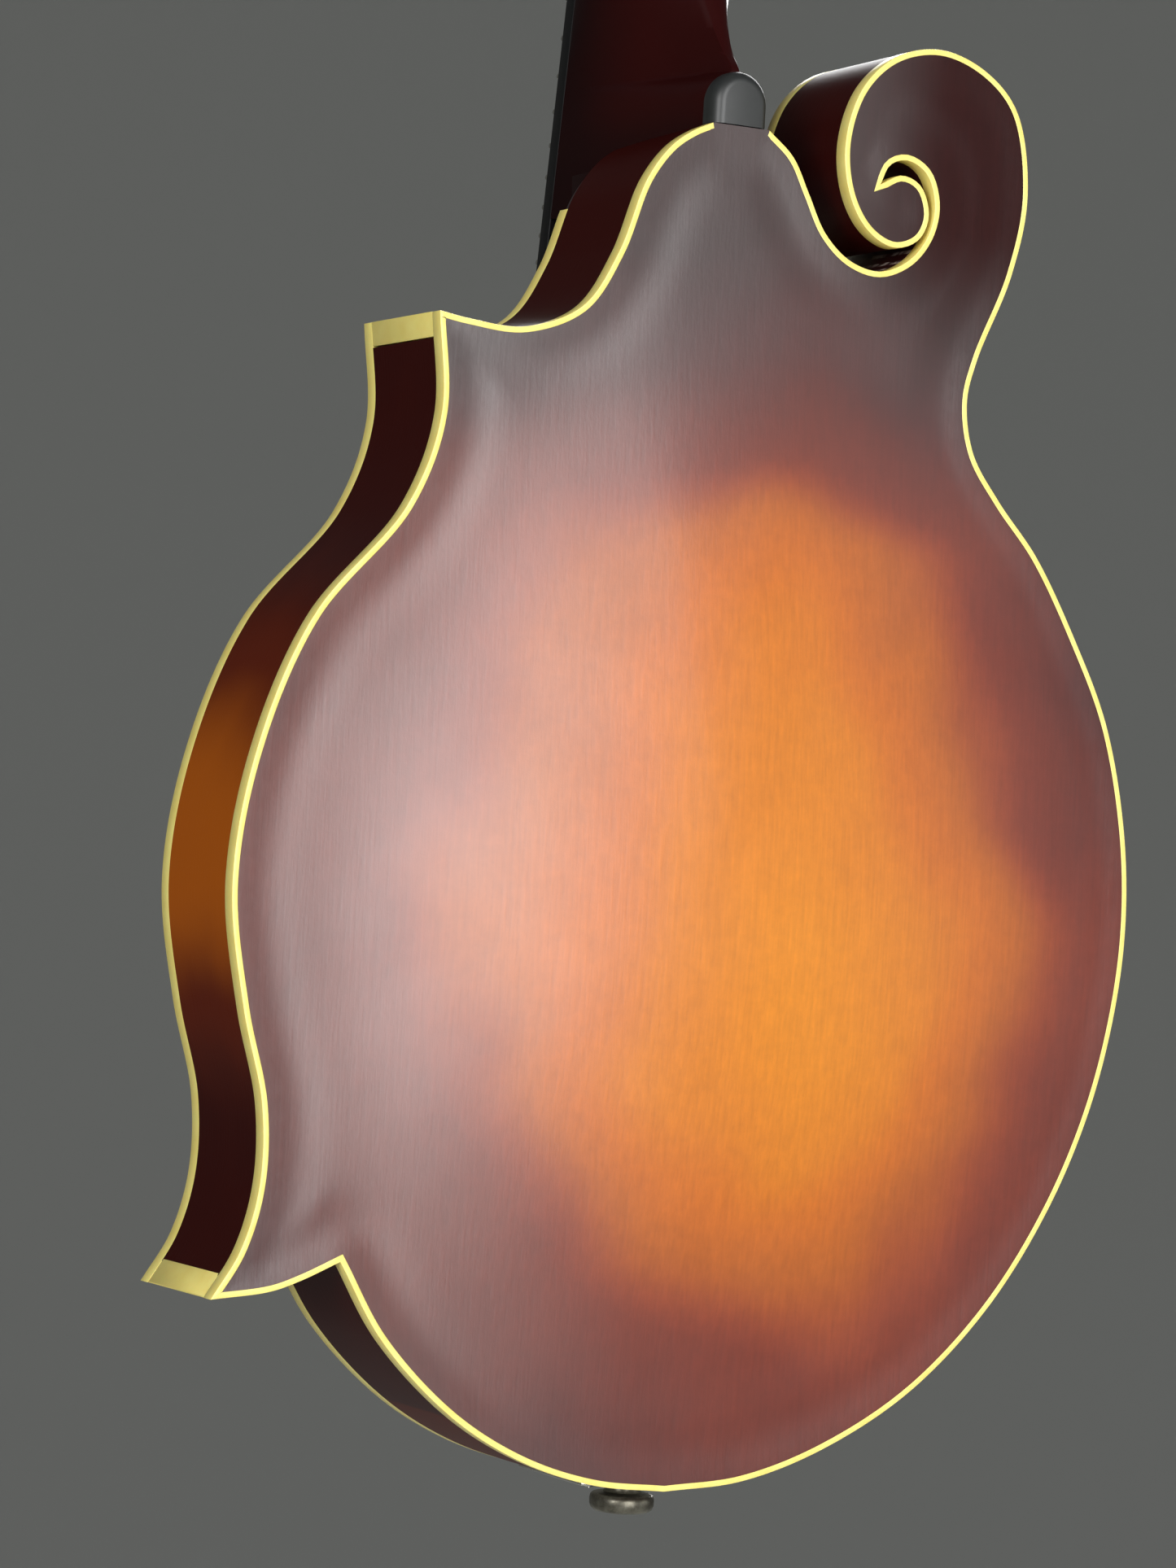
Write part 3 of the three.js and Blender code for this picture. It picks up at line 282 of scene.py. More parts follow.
ARCH_CENTRE = Vector((0, 152))
arch_edge = curve_through([
    (0, 12), (-45, 23), (-84, 54), (-110, 98), (-117, 148), (-107, 198), (-82, 238), (-62, 262),
    (-54, 290), (-28, 302), (0, 322), (26, 300), (50, 276), (68, 258), (80, 234), (103, 200),
    (114, 150), (108, 108), (98, 70), (76, 42), (45, 20)], 3, closed=True)
arch_radius = dict.fromkeys(range(360), 0.0)
for a, b in zip(arch_edge, arch_edge[1:] + arch_edge[:1]):
    first = math.degrees(math.atan2(a.y - ARCH_CENTRE.y, a.x - ARCH_CENTRE.x)) % 360
    arch_radius[int(first)] = (a - ARCH_CENTRE).length
known = [i for i in range(360) if arch_radius[i] > 0]
for i in range(360):
    if arch_radius[i] == 0.0:
        low = max((k for k in known if k < i), default=known[-1] - 360)
        high = min((k for k in known if k > i), default=known[0] + 360)
        share = (i - low) / (high - low)
        arch_radius[i] = arch_radius[low % 360] * (1 - share) + arch_radius[high % 360] * share

ARCH_BLUR = 13
arch_radius = {i: sum(arch_radius[(i + k) % 360] for k in range(-ARCH_BLUR, ARCH_BLUR + 1)) /
               (2 * ARCH_BLUR + 1) for i in range(360)}


def arch_reach(x, z):
    """0 at the middle of the arch and 1 where the arch ends."""
    ray = Vector((x, z)) - ARCH_CENTRE
    angle = math.degrees(math.atan2(ray.y, ray.x)) % 360
    low = int(angle)
    share = angle - low
    radius = arch_radius[low % 360] * (1 - share) + arch_radius[(low + 1) % 360] * share
    return ray.length / radius


def edge_distance(x, z):
    """How far a place on a plate lies from the body's edge."""
    _, index, _ = edge_tree.find((x, z, 0))
    count = len(outline)
    best = 1e9
    for k in (-1, 0):
        a = outline[(index + k) % count]
        b = outline[(index + k + 1) % count]
        _, share = intersect_point_line(Vector((x, z)), a, b)
        foot = a.lerp(b, min(max(share, 0), 1))
        best = min(best, (Vector((x, z)) - foot).length)
    return best


def ease(low, high, value):
    """0 below low, 1 above high, and smooth between."""
    share = min(max((value - low) / (high - low), 0), 1)
    return share * share * (3 - 2 * share)


HOLLOW_DEPTH = 0.45
HOLLOW_FROM_EDGE = 9


def plate_height(x, z, arch, distance):
    """A carved plate's height over its edge: a long arch, and a shallow hollow inside the edge."""
    reach = min(arch_reach(x, z), 1)
    hollow = HOLLOW_DEPTH * math.exp(-((distance - HOLLOW_FROM_EDGE) / 6) ** 2) * ease(0, 6, distance)
    return arch * (1 - reach * reach) ** 2 - hollow


# ---- Back plate ----------------------------------------------------------------------
# Carved maple, arched, with a satin nitrocellulose lacquer shaded from amber in the middle
# to a plum black at the edge. Glued to the ribs and set inside its binding.

PLATE_EDGE = 4.5
BINDING_WIDTH = 1.5
EDGE_FACE = 22.0
BACK_ARCH = 13.0
TOP_ARCH = 16.0
ROW_GAP = 1.4


def inside(place, ring):
    """Whether a place lies inside a closed ring of points."""
    crossed = False
    for a, b in zip(ring, ring[1:] + ring[:1]):
        if (a.y > place.y) != (b.y > place.y):
            share = (place.y - a.y) / (b.y - a.y)
            crossed ^= place.x < a.x + (b.x - a.x) * share
    return crossed


def plate_mesh(arch, holes=(), spacing=2.6, opening=None):
    """A plate's carved face as a bmesh in millimetres, lying in X and Z with its height along Y."""
    heel = range(starts["heel"], starts["treble_shoulder"] + 1)
    boundary = [inset_point(i, 0.05 if i in heel else BINDING_WIDTH) for i in range(len(outline))]
    row = [inset_point(i, BINDING_WIDTH + ROW_GAP) for i in range(len(outline))]
    if opening:
        half, low = opening
        open_at = [abs(p.x) < half and p.y > low for p in boundary]
        last = max(i for i, is_open in enumerate(open_at) if is_open)
        boundary = boundary[last + 1:] + boundary[:open_at.index(True)]
        boundary += [Vector((-half, low)), Vector((half, low))]
        row = [p for p in row if abs(p.x) > half + 1 or p.y < low - 1]
    loops = [boundary] + [list(h) for h in holes]
    flat = [p for loop in loops for p in loop]
    edges = []
    start = 0
    for loop in loops:
        edges += [(start + i, start + (i + 1) % len(loop)) for i in range(len(loop))]
        start += len(loop)
    flat += row
    across = int(260 / spacing)
    for i in range(across):
        for j in range(int(376 / (spacing * 0.866))):
            x = -130 + (i + 0.5 * (j % 2)) * spacing
            z = -2 + j * spacing * 0.866
            _, _, far = edge_tree.find((x, z, 0))
            if far < BINDING_WIDTH + ROW_GAP + spacing * 0.6:
                continue
            if any((Vector((x, z)) - p).length < spacing * 0.5 for h in holes for p in h):
                continue
            if opening and abs(x) < opening[0] + 1 and z > opening[1] - 1:
                continue
            flat.append(Vector((x, z)))
    places, _, faces, *_ = delaunay_2d_cdt(flat, edges, [], 1, 1e-5)
    bm = bmesh.new()
    made = []
    for p in places:
        distance = edge_distance(p.x, p.y)
        made.append(bm.verts.new((p.x, plate_height(p.x, p.y, arch, distance), p.y)))
    for face in faces:
        middle = sum((places[i] for i in face), Vector((0, 0))) / len(face)
        if not any(inside(middle, hole) for hole in holes):
            bm.faces.new([made[i] for i in face])
    bmesh.ops.delete(bm, geom=[v for v in bm.verts if not v.link_faces], context="VERTS")
    return bm


def finish_mesh(name, bm, materials, smooth_angle=35, body="instrument"):
    """Turns a bmesh in metres into a smooth-shaded object that rides on a body."""
    mesh = bpy.data.meshes.new(name)
    bm.to_mesh(mesh)
    bm.free()
    piece = bpy.data.objects.new(name, mesh)
    bpy.context.scene.collection.objects.link(piece)
    for material in materials:
        mesh.materials.append(material)
    mesh.polygons.foreach_set("use_smooth", [True] * len(mesh.polygons))
    mesh.set_sharp_from_angle(angle=math.radians(smooth_angle))
    if body:
        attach(piece, body)
    return piece


def sharpen_rim(piece):
    """Marks a sheet's open edges sharp, so that its face stays flat in the light up to the rim."""
    bm = bmesh.new()
    bm.from_mesh(piece.data)
    for e in bm.edges:
        e.smooth = e.smooth and not e.is_boundary
    bm.to_mesh(piece.data)
    bm.free()


def to_body(bm):
    """Moves a bmesh drawn in body millimetres to its place on the instrument, in metres."""
    bmesh.ops.scale(bm, verts=bm.verts, vec=(MM, MM, MM))
    bmesh.ops.translate(bm, verts=bm.verts, vec=spot(0, 0, 0))


BACK_BURST = {"x": -25, "z": 140, "bass": 77, "treble": 100, "neck": 124, "tail": 98, "corner": 1.3}
TOP_BURST = {"x": 0, "z": 140, "bass": 90, "treble": 90, "neck": 112, "tail": 100, "corner": 1.7}


def burst_values(bm, burst):
    """Stores how far each vertex lies from the burst's middle, and how hazy its lacquer is."""
    layer = bm.verts.layers.float.new("burst")
    for v in bm.verts:
        across = v.co.x - burst["x"]
        along = v.co.z - burst["z"]
        power = burst["corner"] if across < 0 < along else 1.7
        across = abs(across) / burst["treble" if across > 0 else "bass"]
        along = abs(along) / burst["neck" if along > 0 else "tail"]
        v[layer] = 0.5 * (across ** power + along ** power) ** (1 / power) + 0.25 * ease(235, 290, v.co.z)
    layer = bm.verts.layers.float.new("haze")
    for v in bm.verts:
        scroll = ease(28, 62, -v.co.x) * ease(275, 325, v.co.z)
        v[layer] = (0.5 + 0.4 * ease(-20, 80, v.co.x) + 0.35 * ease(200, 310, v.co.z)) * (1 - 0.85 * scroll)


def sunburst(name, colours, grain_scale, grain_depth, streak):
    """Satin lacquer over tonewood: a shaded burst with soft blotches, pores and long grain."""
    made = new_material(name)
    where = node(made, "TexCoord").outputs["Object"]
    burst = node(made, "Attribute", attribute_name="burst").outputs["Fac"]
    cloud = node(made, "TexNoise", [(where, "Vector")], {"Scale": 11.0, "Detail": 2.0, "Roughness": 0.5})
    shift = node(made, "MapRange", [(cloud.outputs["Fac"], "Value")], {
        "From Min": 0.25, "From Max": 0.75, "To Min": -0.11, "To Max": 0.11})
    shade = node(made, "Math", [(burst, 0), (shift.outputs[0], 1)], operation="ADD")
    ramp = node(made, "ValToRGB", [(shade.outputs[0], "Fac")])
    ramp.color_ramp.interpolation = "B_SPLINE"
    stops = ramp.color_ramp.elements
    while len(stops) < len(colours):
        stops.new(0.5)
    for stop, (place, code) in zip(stops, colours):
        stop.position = place
        stop.color = linear(code)
    along = node(made, "Mapping", [(where, "Vector")], {"Scale": grain_scale})
    grain = node(made, "TexNoise", [(along.outputs[0], "Vector")], {
        "Scale": 1.0, "Detail": 6.0, "Roughness": 0.65})
    tone = node(made, "MapRange", [(grain.outputs["Fac"], "Value")], {
        "From Min": 0.3, "From Max": 0.7, "To Min": 1 - streak, "To Max": 1 + streak * 0.6})
    mottle = node(made, "TexNoise", [(where, "Vector")], {"Scale": 260.0, "Detail": 5.0, "Roughness": 0.7})
    mottle_tone = node(made, "MapRange", [(mottle.outputs["Fac"], "Value")], {
        "From Min": 0.3, "From Max": 0.7, "To Min": 0.93, "To Max": 1.06})
    both = node(made, "Math", [(tone.outputs[0], 0), (mottle_tone.outputs[0], 1)], operation="MULTIPLY")
    toned = node(made, "Mix", [(ramp.outputs[0], 6), (both.outputs[0], 7)], {0: 1.0},
                 data_type="RGBA", blend_type="MULTIPLY")
    height = node(made, "Math", [(grain.outputs["Fac"], 0), (mottle.outputs["Fac"], 1)], operation="ADD")
    bump = node(made, "Bump", [(height.outputs[0], "Height")], {"Strength": grain_depth, "Distance": 0.0003})
    haze = node(made, "TexNoise", [(where, "Vector")], {"Scale": 40.0, "Detail": 4.0})
    roughness = node(made, "MapRange", [(haze.outputs["Fac"], "Value")], {"To Min": 0.36, "To Max": 0.46})
    rubbed = node(made, "Attribute", attribute_name="haze").outputs["Fac"]
    return surface(made, node(made, "BsdfPrincipled", [
        (toned.outputs[2], "Base Color"), (bump.outputs[0], "Normal"), (roughness.outputs[0], "Roughness"),
        (rubbed, "Specular IOR Level")], {"IOR": 1.62}))


def carved_plate(name, bm, burst, outward, lacquer):
    """Finishes a plate whose carved face looks along Y, with its thickness behind the face."""
    burst_values(bm, burst)
    for v in bm.verts:
        v.co.y = outward * (EDGE_FACE + v.co.y)
    bmesh.ops.recalc_face_normals(bm, faces=bm.faces)
    if outward * sum(f.normal.y for f in bm.faces) < 0:
        bmesh.ops.reverse_faces(bm, faces=bm.faces)
    to_body(bm)
    piece = finish_mesh(name, bm, [lacquer], 60)
    sharpen_rim(piece)
    wall = piece.modifiers.new("thickness", "SOLIDIFY")
    wall.thickness = PLATE_EDGE * MM * 0.9
    wall.offset = -1
    return piece


# Amber in the middle through rust to plum black, under a soft grey haze.
back_lacquer = sunburst("satin_lacquer_on_maple", [
    (0.0, "#D98418"), (0.26, "#C97216"), (0.36, "#BE6116"), (0.43, "#AC5A18"), (0.50, "#8E3C1D"),
    (0.57, "#6E2A1B"), (0.68, "#622519"), (0.80, "#441614"), (0.95, "#2C0E0D")],
    (900, 900, 60), 0.1, 0.12)
back_plate = carved_plate("back", plate_mesh(BACK_ARCH), BACK_BURST, 1, back_lacquer)
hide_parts("back_plate")

# ---- Bindings ------------------------------------------------------------------------
# Strips of ivoroid, a cream celluloid, let into the edges of both plates. They are scraped
# flush and their outer corners rounded over, and stop at the heel and under the fingerboard.


def two_tone(name, kind, pattern, colours, finish, bump=0, stops=(0, 1), stretch=None,
             value="Fac", **properties):
    """A material with one fine pattern between two colours, and a slight bump if one is given."""
    made = new_material(name)
    where = node(made, "TexCoord").outputs["Object"]
    if stretch:
        where = node(made, "Mapping", [(where, "Vector")], {"Scale": stretch}).outputs[0]
    level = node(made, kind, [(where, "Vector")], pattern, **properties).outputs[value]
    tone = node(made, "ValToRGB", [(level, "Fac")])
    for stop, place, code in zip(tone.color_ramp.elements, stops, colours):
        stop.position = place
        stop.color = linear(code)
    links = [(tone.outputs[0], "Base Color")]
    if bump:
        relief = node(made, "Bump", [(level, "Height")], {"Strength": bump, "Distance": 0.0002})
        links.append((relief.outputs[0], "Normal"))
    return surface(made, node(made, "BsdfPrincipled", links, finish))


# Cream celluloid: warm, faintly streaked, and a little translucent at its edges.
ivoroid = two_tone("aged_ivoroid", "TexNoise", {"Scale": 180.0, "Detail": 4.0}, ("#EBD36A", "#FAEE92"), {
    "Roughness": 0.36, "Subsurface Weight": 0.12, "Subsurface Scale": 0.001})


def extruded(bm, faces, move):
    """Extrudes faces along a vector and gives the vertices that moved."""
    raised = bmesh.ops.extrude_face_region(bm, geom=faces)["geom"]
    lifted = [g for g in raised if isinstance(g, bmesh.types.BMVert)]
    bmesh.ops.translate(bm, verts=lifted, vec=move)
    return lifted


def strip_mesh(first, last, outer, inner, low, high):
    """A strip of wood or plastic that follows the outline, with its width and depth in mm."""
    bm = bmesh.new()
    chains = []
    for inset in (outer, inner):
        places = [inset_point(i, inset) for i in range(first, last + 1)]
        chain = [bm.verts.new((p.x, low, p.y)) for p in places]
        chains += [bm.edges.new(pair) for pair in zip(chain, chain[1:])]
    bmesh.ops.bridge_loops(bm, edges=chains)
    extruded(bm, bm.faces[:], (0, high - low, 0))
    bmesh.ops.recalc_face_normals(bm, faces=bm.faces)
    return bm


def round_corners(bm, width, segments=2, angle=50):
    """Bevels the edges that are sharper than the angle."""
    sharp = [e for e in bm.edges if e.is_manifold and e.calc_face_angle(0) > math.radians(angle)]
    bmesh.ops.bevel(bm, geom=sharp, offset=width, segments=segments, affect="EDGES", profile=0.5,
                    material=-1, clamp_overlap=True)


count = len(outline)
for name, low, high, cad in (("binding_strip_back", EDGE_FACE - PLATE_EDGE, EDGE_FACE, "binding_back"),
                             ("binding_strip_top", -EDGE_FACE, PLATE_EDGE - EDGE_FACE, "binding_top")):
    first = starts["treble_shoulder"]
    last = starts["heel"] + count
    if cad == "binding_top":
        while outline[first % count].y > 321.5 and outline[first % count].x < 60:
            first += 1
        while outline[last % count].y > 321.5 and outline[last % count].x > -23:
            last -= 1
    binding = strip_mesh(first, last, 0, BINDING_WIDTH, low, high)
    round_corners(binding, 0.35)
    to_body(binding)
    strip = finish_mesh(name, binding, [ivoroid])
    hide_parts(cad)

# ---- Ribs ----------------------------------------------------------------------------
# Maple sides, 2 mm thick and bent to the outline, between the two bindings. Their lacquer is
# amber round the lower bout and nearly black at the points, the waist and the scroll.

# The same lacquer on a narrow side: deep red-black that opens to amber, with little haze.
rib_lacquer = new_material("satin_lacquer_on_ribs")
where = node(rib_lacquer, "TexCoord").outputs["Object"]
light = node(rib_lacquer, "Attribute", attribute_name="amber").outputs["Fac"]
figure = node(rib_lacquer, "TexNoise", [(where, "Vector")], {"Scale": 26.0, "Detail": 2.0})
figure_shift = node(rib_lacquer, "MapRange", [(figure.outputs["Fac"], "Value")], {
    "From Min": 0.3, "From Max": 0.7, "To Min": -0.07, "To Max": 0.07})
rib_shade = node(rib_lacquer, "Math", [(light, 0), (figure_shift.outputs[0], 1)], operation="ADD")
rib_ramp = node(rib_lacquer, "ValToRGB", [(rib_shade.outputs[0], "Fac")])
rib_ramp.color_ramp.interpolation = "EASE"
rib_stops = rib_ramp.color_ramp.elements
rib_stops[0].color = linear("#330805")
rib_stops[1].color = linear("#A8540C")
rib_stops.new(0.5).color = linear("#5A1D09")
fibre = node(rib_lacquer, "Mapping", [(where, "Vector")], {"Scale": (60, 1400, 60)})
fibre_noise = node(rib_lacquer, "TexNoise", [(fibre.outputs[0], "Vector")], {"Scale": 1.0, "Detail": 5.0})
rib_bump = node(rib_lacquer, "Bump", [(fibre_noise.outputs["Fac"], "Height")], {
    "Strength": 0.1, "Distance": 0.0003})
surface(rib_lacquer, node(rib_lacquer, "BsdfPrincipled", [
    (rib_ramp.outputs[0], "Base Color"), (rib_bump.outputs[0], "Normal")], {
    "Roughness": 0.42, "Specular IOR Level": 0.05}))

RIB_FACE = EDGE_FACE - PLATE_EDGE
RIB_THICKNESS = 2.0


def amber_values(bm):
    """Stores how light the lacquer is: amber beside the lower bout only."""
    layer = bm.verts.layers.float.new("amber")
    for v in bm.verts:
        z = v.co.z
        side = ease(76, 150, z) * (1 - ease(150, 246, z))
        tail = 0.35 * (1 - ease(0, 60, z)) if abs(v.co.x) < 60 else 0
        v[layer] = max(side, tail)


# The ribs stop this many outline steps from a point, where its cap begins.
CAP_STEPS = 4
for name, first, last in (
        ("rib_bass", starts["bass_side"], starts["slot_side"]),
        ("rib_treble_lower", starts["point_underside"] + CAP_STEPS, count),
        ("rib_treble_waist", starts["treble_waist"] + CAP_STEPS, starts["point_underside"] - CAP_STEPS),
        ("rib_treble_upper", starts["treble_shoulder"], starts["treble_waist"] - CAP_STEPS)):
    side = strip_mesh(first, last, 0.04, RIB_THICKNESS, -RIB_FACE, RIB_FACE)
    long_edges = [e for e in side.edges if abs(e.verts[0].co.y - e.verts[1].co.y) > 1]
    bmesh.ops.subdivide_edges(side, edges=long_edges, cuts=5, use_grid_fill=True)
    amber_values(side)
    to_body(side)
    panel = finish_mesh(name + "_panel", side, [rib_lacquer])
    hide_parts(name)

# ---- Point caps and head block -------------------------------------------------------
# Solid ivoroid corners close the two sharp points and join the bindings. The head block is
# the maple that carries the scroll; its polished wall shows inside the scroll's curl.


def refined(cad_name, material, bevel=0.3, angle=28, segments=2, name=None):
    """A rounded, smooth-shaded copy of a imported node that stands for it; bevel in millimetres."""
    node_object = frame["nodes"][cad_name]
    bm = bmesh.new()
    bm.from_mesh(node_object.data)
    bmesh.ops.remove_doubles(bm, verts=bm.verts, dist=0.00001)
    bmesh.ops.dissolve_limit(bm, angle_limit=math.radians(0.4), verts=bm.verts, edges=bm.edges)
    if bevel:
        round_corners(bm, bevel * MM, segments, angle)
    bmesh.ops.triangulate(bm, faces=[f for f in bm.faces if len(f.verts) > 4])
    piece = finish_mesh(name or cad_name + "_made", bm, [material], 32, node_object["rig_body"])
    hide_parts(cad_name)
    return piece


for name in ("point_cap_upper", "point_cap_lower"):
    refined(name, ivoroid, 0.4)

# Dark lacquer with pale streaks of polish left where a cloth can't reach.
scroll_lacquer = new_material("rubbed_lacquer_in_the_curl")
where = node(scroll_lacquer, "TexCoord").outputs["Object"]
residue = node(scroll_lacquer, "Mapping", [(where, "Vector")], {"Scale": (120, 420, 420)})
residue_noise = node(scroll_lacquer, "TexNoise", [(residue.outputs[0], "Vector")], {
    "Scale": 1.0, "Detail": 6.0})
low_in_curl = node(scroll_lacquer, "Attribute", attribute_name="rubbed").outputs["Fac"]
marks = node(scroll_lacquer, "MapRange", [(residue_noise.outputs["Fac"], "Value")], {
    "From Min": 0.44, "From Max": 0.6})
shown = node(scroll_lacquer, "Math", [(marks.outputs[0], 0), (low_in_curl, 1)], operation="MULTIPLY")
wall_colour = node(scroll_lacquer, "Mix", [(shown.outputs[0], 0)], {
    6: linear("#300A09"), 7: linear("#B8A69C")}, data_type="RGBA")
surface(scroll_lacquer, node(scroll_lacquer, "BsdfPrincipled", [(wall_colour.outputs[2], "Base Color")], {
    "Roughness": 0.4}))

wall_strip = strip_mesh(starts["slot_side"], starts["heel"], 0.05, 2.5, -RIB_FACE, RIB_FACE)
long_edges = [e for e in wall_strip.edges if abs(e.verts[0].co.y - e.verts[1].co.y) > 1]
bmesh.ops.subdivide_edges(wall_strip, edges=long_edges, cuts=7, use_grid_fill=True)
layer = wall_strip.verts.layers.float.new("rubbed")
for v in wall_strip.verts:
    v[layer] = ease(-12, 8, v.co.y) * (1 - ease(312, 322, v.co.z))
to_body(wall_strip)
curl_wall = finish_mesh("curl_wall", wall_strip, [scroll_lacquer])
frame["nodes"]["head_block"].data.materials.clear()
frame["nodes"]["head_block"].data.materials.append(scroll_lacquer)

# ---- Linings, blocks and tone bars ---------------------------------------------------
# Unfinished spruce glued inside the sound box. It only shows through the sound holes, as
# pale straight-grained wood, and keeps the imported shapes.

# Bare pale wood with darker lines of grain.
raw_spruce = two_tone("raw_spruce", "TexWave", {
    "Scale": 210.0, "Distortion": 1.5, "Detail": 2.0, "Detail Scale": 0.3}, ("#C79A62", "#E6C999"), {
    "Roughness": 0.75}, bands_direction="X")
for name in ("lining_back", "lining_top", "point_block_upper", "point_block_lower", "tail_block",
             "tone_bar_bass", "tone_bar_treble"):
    frame["nodes"][name].data.materials.clear()
    frame["nodes"][name].data.materials.append(raw_spruce)

# ---- Top plate -----------------------------------------------------------------------
# Carved spruce with a higher arch than the back and two f-shaped sound holes. Its lacquer
# has the same shaded burst, over straight grain lines about 1.5 mm apart.

TOP_OPENING = (21.3, 321.5)


def sound_hole(side):
    """The outline of one sound hole: two round eyes joined by a leaning stem."""
    stem = curve_through([(31.5, 214), (33, 223), (39, 228), (44, 222), (44, 205), (45, 186), (48, 166),
                          (54, 154), (61, 154), (64, 162)], 2.0)
    eyes = ((stem[0], 4.0), (stem[-1], 4.8))
    left = []
    right = []
    for i, p in enumerate(stem):
        ahead = (stem[min(i + 1, len(stem) - 1)] - stem[max(i - 1, 0)]).normalized()
        half = 1.2 + 2.2 * math.sin(math.pi * i / (len(stem) - 1)) ** 2
        square = Vector((-ahead.y, ahead.x))
        for row, spread in ((left, half), (right, -half)):
            place = p + square * spread
            if all((place - eye).length > radius + 0.3 for eye, radius in eyes):
                row.append(place)

    def round_the_eye(eye, radius, leaving, arriving):
        """The long way round an eye, from where one side of the stem meets it to the other."""
        first = math.atan2(leaving.y - eye.y, leaving.x - eye.x)
        last = math.atan2(arriving.y - eye.y, arriving.x - eye.x)
        sweep_angle = (last - first) % math.tau
        if sweep_angle < math.pi:
            sweep_angle -= math.tau
        turns = [first + sweep_angle * k / 20 for k in range(1, 20)]
        return [eye + radius * Vector((math.cos(t), math.sin(t))) for t in turns]

    ring = left + round_the_eye(*eyes[1], left[-1], right[-1]) + right[::-1]
    ring += round_the_eye(*eyes[0], right[0], left[0])
    return [Vector((p.x * side, p.y)) for p in ring]


# Golden in the middle, nearly black at the edge, with straight streaks of grain.
top_lacquer = sunburst("satin_lacquer_on_spruce", [
    (0.0, "#EBA23A"), (0.28, "#E08A26"), (0.42, "#C0601E"), (0.54, "#873520"), (0.70, "#4A1C1C"),
    (0.86, "#2C1416"), (1.0, "#221012")], (650, 650, 20), 0.12, 0.2)
top = plate_mesh(TOP_ARCH, [sound_hole(1), sound_hole(-1)], 2.6, TOP_OPENING)
top_plate = carved_plate("top", top, TOP_BURST, -1, top_lacquer)
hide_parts("top_plate")

# ---- Neck ----------------------------------------------------------------------------
# One length of maple: a round shaft that flares into a tapered heel on the body, with the
# head at its far end. Lacquered dark red-brown, nearly black where the shade is heaviest.

SCALE = 352.4
NUT_THICKNESS = 4.8
NECK_JOINT = 341.5
NECK_TILT = math.radians(3.5)
BOARD_RISE = 23.0
BOARD_THICKNESS = 5.0
BOARD_OVERHANG = 54.0
NUT_WIDTH = 28.5
BOARD_AT_BODY = 40.6
HEEL_RISE = 14.0
HEEL_HALF = 7.9
HEEL_MIDDLE = 0.5
GLUE = 0.1


def fret_distance(fret):
    """How far a fret lies from the nut along the string."""
    return SCALE * (1 - 2 ** (-fret / 12))


NECK_LENGTH = fret_distance(15)
NECK = Matrix.Translation((0, -EDGE_FACE - BOARD_RISE, NECK_JOINT)) @ Matrix.Rotation(-NECK_TILT, 4, "X")
HEAD_SET_BACK = 3.5
HEAD_TILT = math.radians(15)
HEAD = (NECK @ Matrix.Translation((0, HEAD_SET_BACK, NECK_LENGTH + NUT_THICKNESS)) @
        Matrix.Rotation(-HEAD_TILT, 4, "X"))
NECK_TOP = (NECK @ Vector((0, BOARD_THICKNESS, NECK_LENGTH + NUT_THICKNESS))).z


def board_face(z):
    """The fingerboard's playing face over the neck, as Y at a height on the body."""
    return -EDGE_FACE - BOARD_RISE + (z - NECK_JOINT) * math.tan(NECK_TILT)


def board_half(along):
    """Half the fingerboard's width, which tapers from the body to the nut."""
    share = along / NECK_LENGTH
    return (BOARD_AT_BODY * (1 - share) + NUT_WIDTH * share) / 2


ridge = curve_through([
    (0, RIB_FACE), (HEEL_RISE, RIB_FACE), (HEEL_RISE + 1.5, RIB_FACE - 0.7), (HEEL_RISE + 6, RIB_FACE - 5),
    (HEEL_RISE + 13, RIB_FACE - 9.5), (HEEL_RISE + 21, RIB_FACE - 13.5), (HEEL_RISE + 36, RIB_FACE - 21),
    (HEEL_RISE + 56, RIB_FACE - 29.5), (HEEL_RISE + 81, board_face(NECK_JOINT + HEEL_RISE + 81) + 22),
    (NECK_TOP - NECK_JOINT, board_face(NECK_TOP) + 20)], 0.8)


def ridge_at(z):
    """The neck's back along its middle, as Y at a height on the body."""
    rise = z - NECK_JOINT
    for a, b in zip(ridge, ridge[1:]):
        if b.x >= rise:
            share = min(max((rise - a.x) / max(b.x - a.x, 1e-6), 0), 1)
            return min(a.y + (b.y - a.y) * share, RIB_FACE)
    return ridge[-1].y


def heel_half(rise):
    """Half the heel cap's width at a height over the body's edge: straight, then domed."""
    straight = HEEL_RISE * 0.4
    over = max(rise - straight, 0) / (HEEL_RISE - straight)
    return HEEL_HALF * math.sqrt(max(1 - over * over, 0))


def neck_ring(z, steps):
    """The neck's section at a height: a half round on the shaft, a tapered flat at the heel."""
    front = board_face(z) + (BOARD_THICKNESS + GLUE) / math.cos(NECK_TILT)
    half = board_half((z - NECK_JOINT) / math.cos(NECK_TILT))
    depth = ridge_at(z) - front
    heel = 1 - ease(HEEL_RISE - 2, HEEL_RISE + 40, z - NECK_JOINT)
    flat_half = heel_half(max(z - NECK_JOINT, 0)) if z - NECK_JOINT < HEEL_RISE else 1
    flat_share = 0.3
    ring = []
    for i in range(steps + 1):
        side = math.cos(math.pi * i / steps)
        run = max((abs(side) - flat_share) / (1 - flat_share), 0)
        if run > 0:
            heel_x = math.copysign(flat_half + (half - flat_half) * run ** 1.2, side)
            heel_depth = 1 - run ** 1.1
        else:
            heel_x = flat_half * side / flat_share
            heel_depth = 1
        x = half * side * (1 - heel) + heel_x * heel
        back = math.sin(math.pi * i / steps) * (1 - heel) + heel_depth * heel
        ring.append(Vector((x + HEEL_MIDDLE * heel * back, front + depth * back, z)))
    return ring


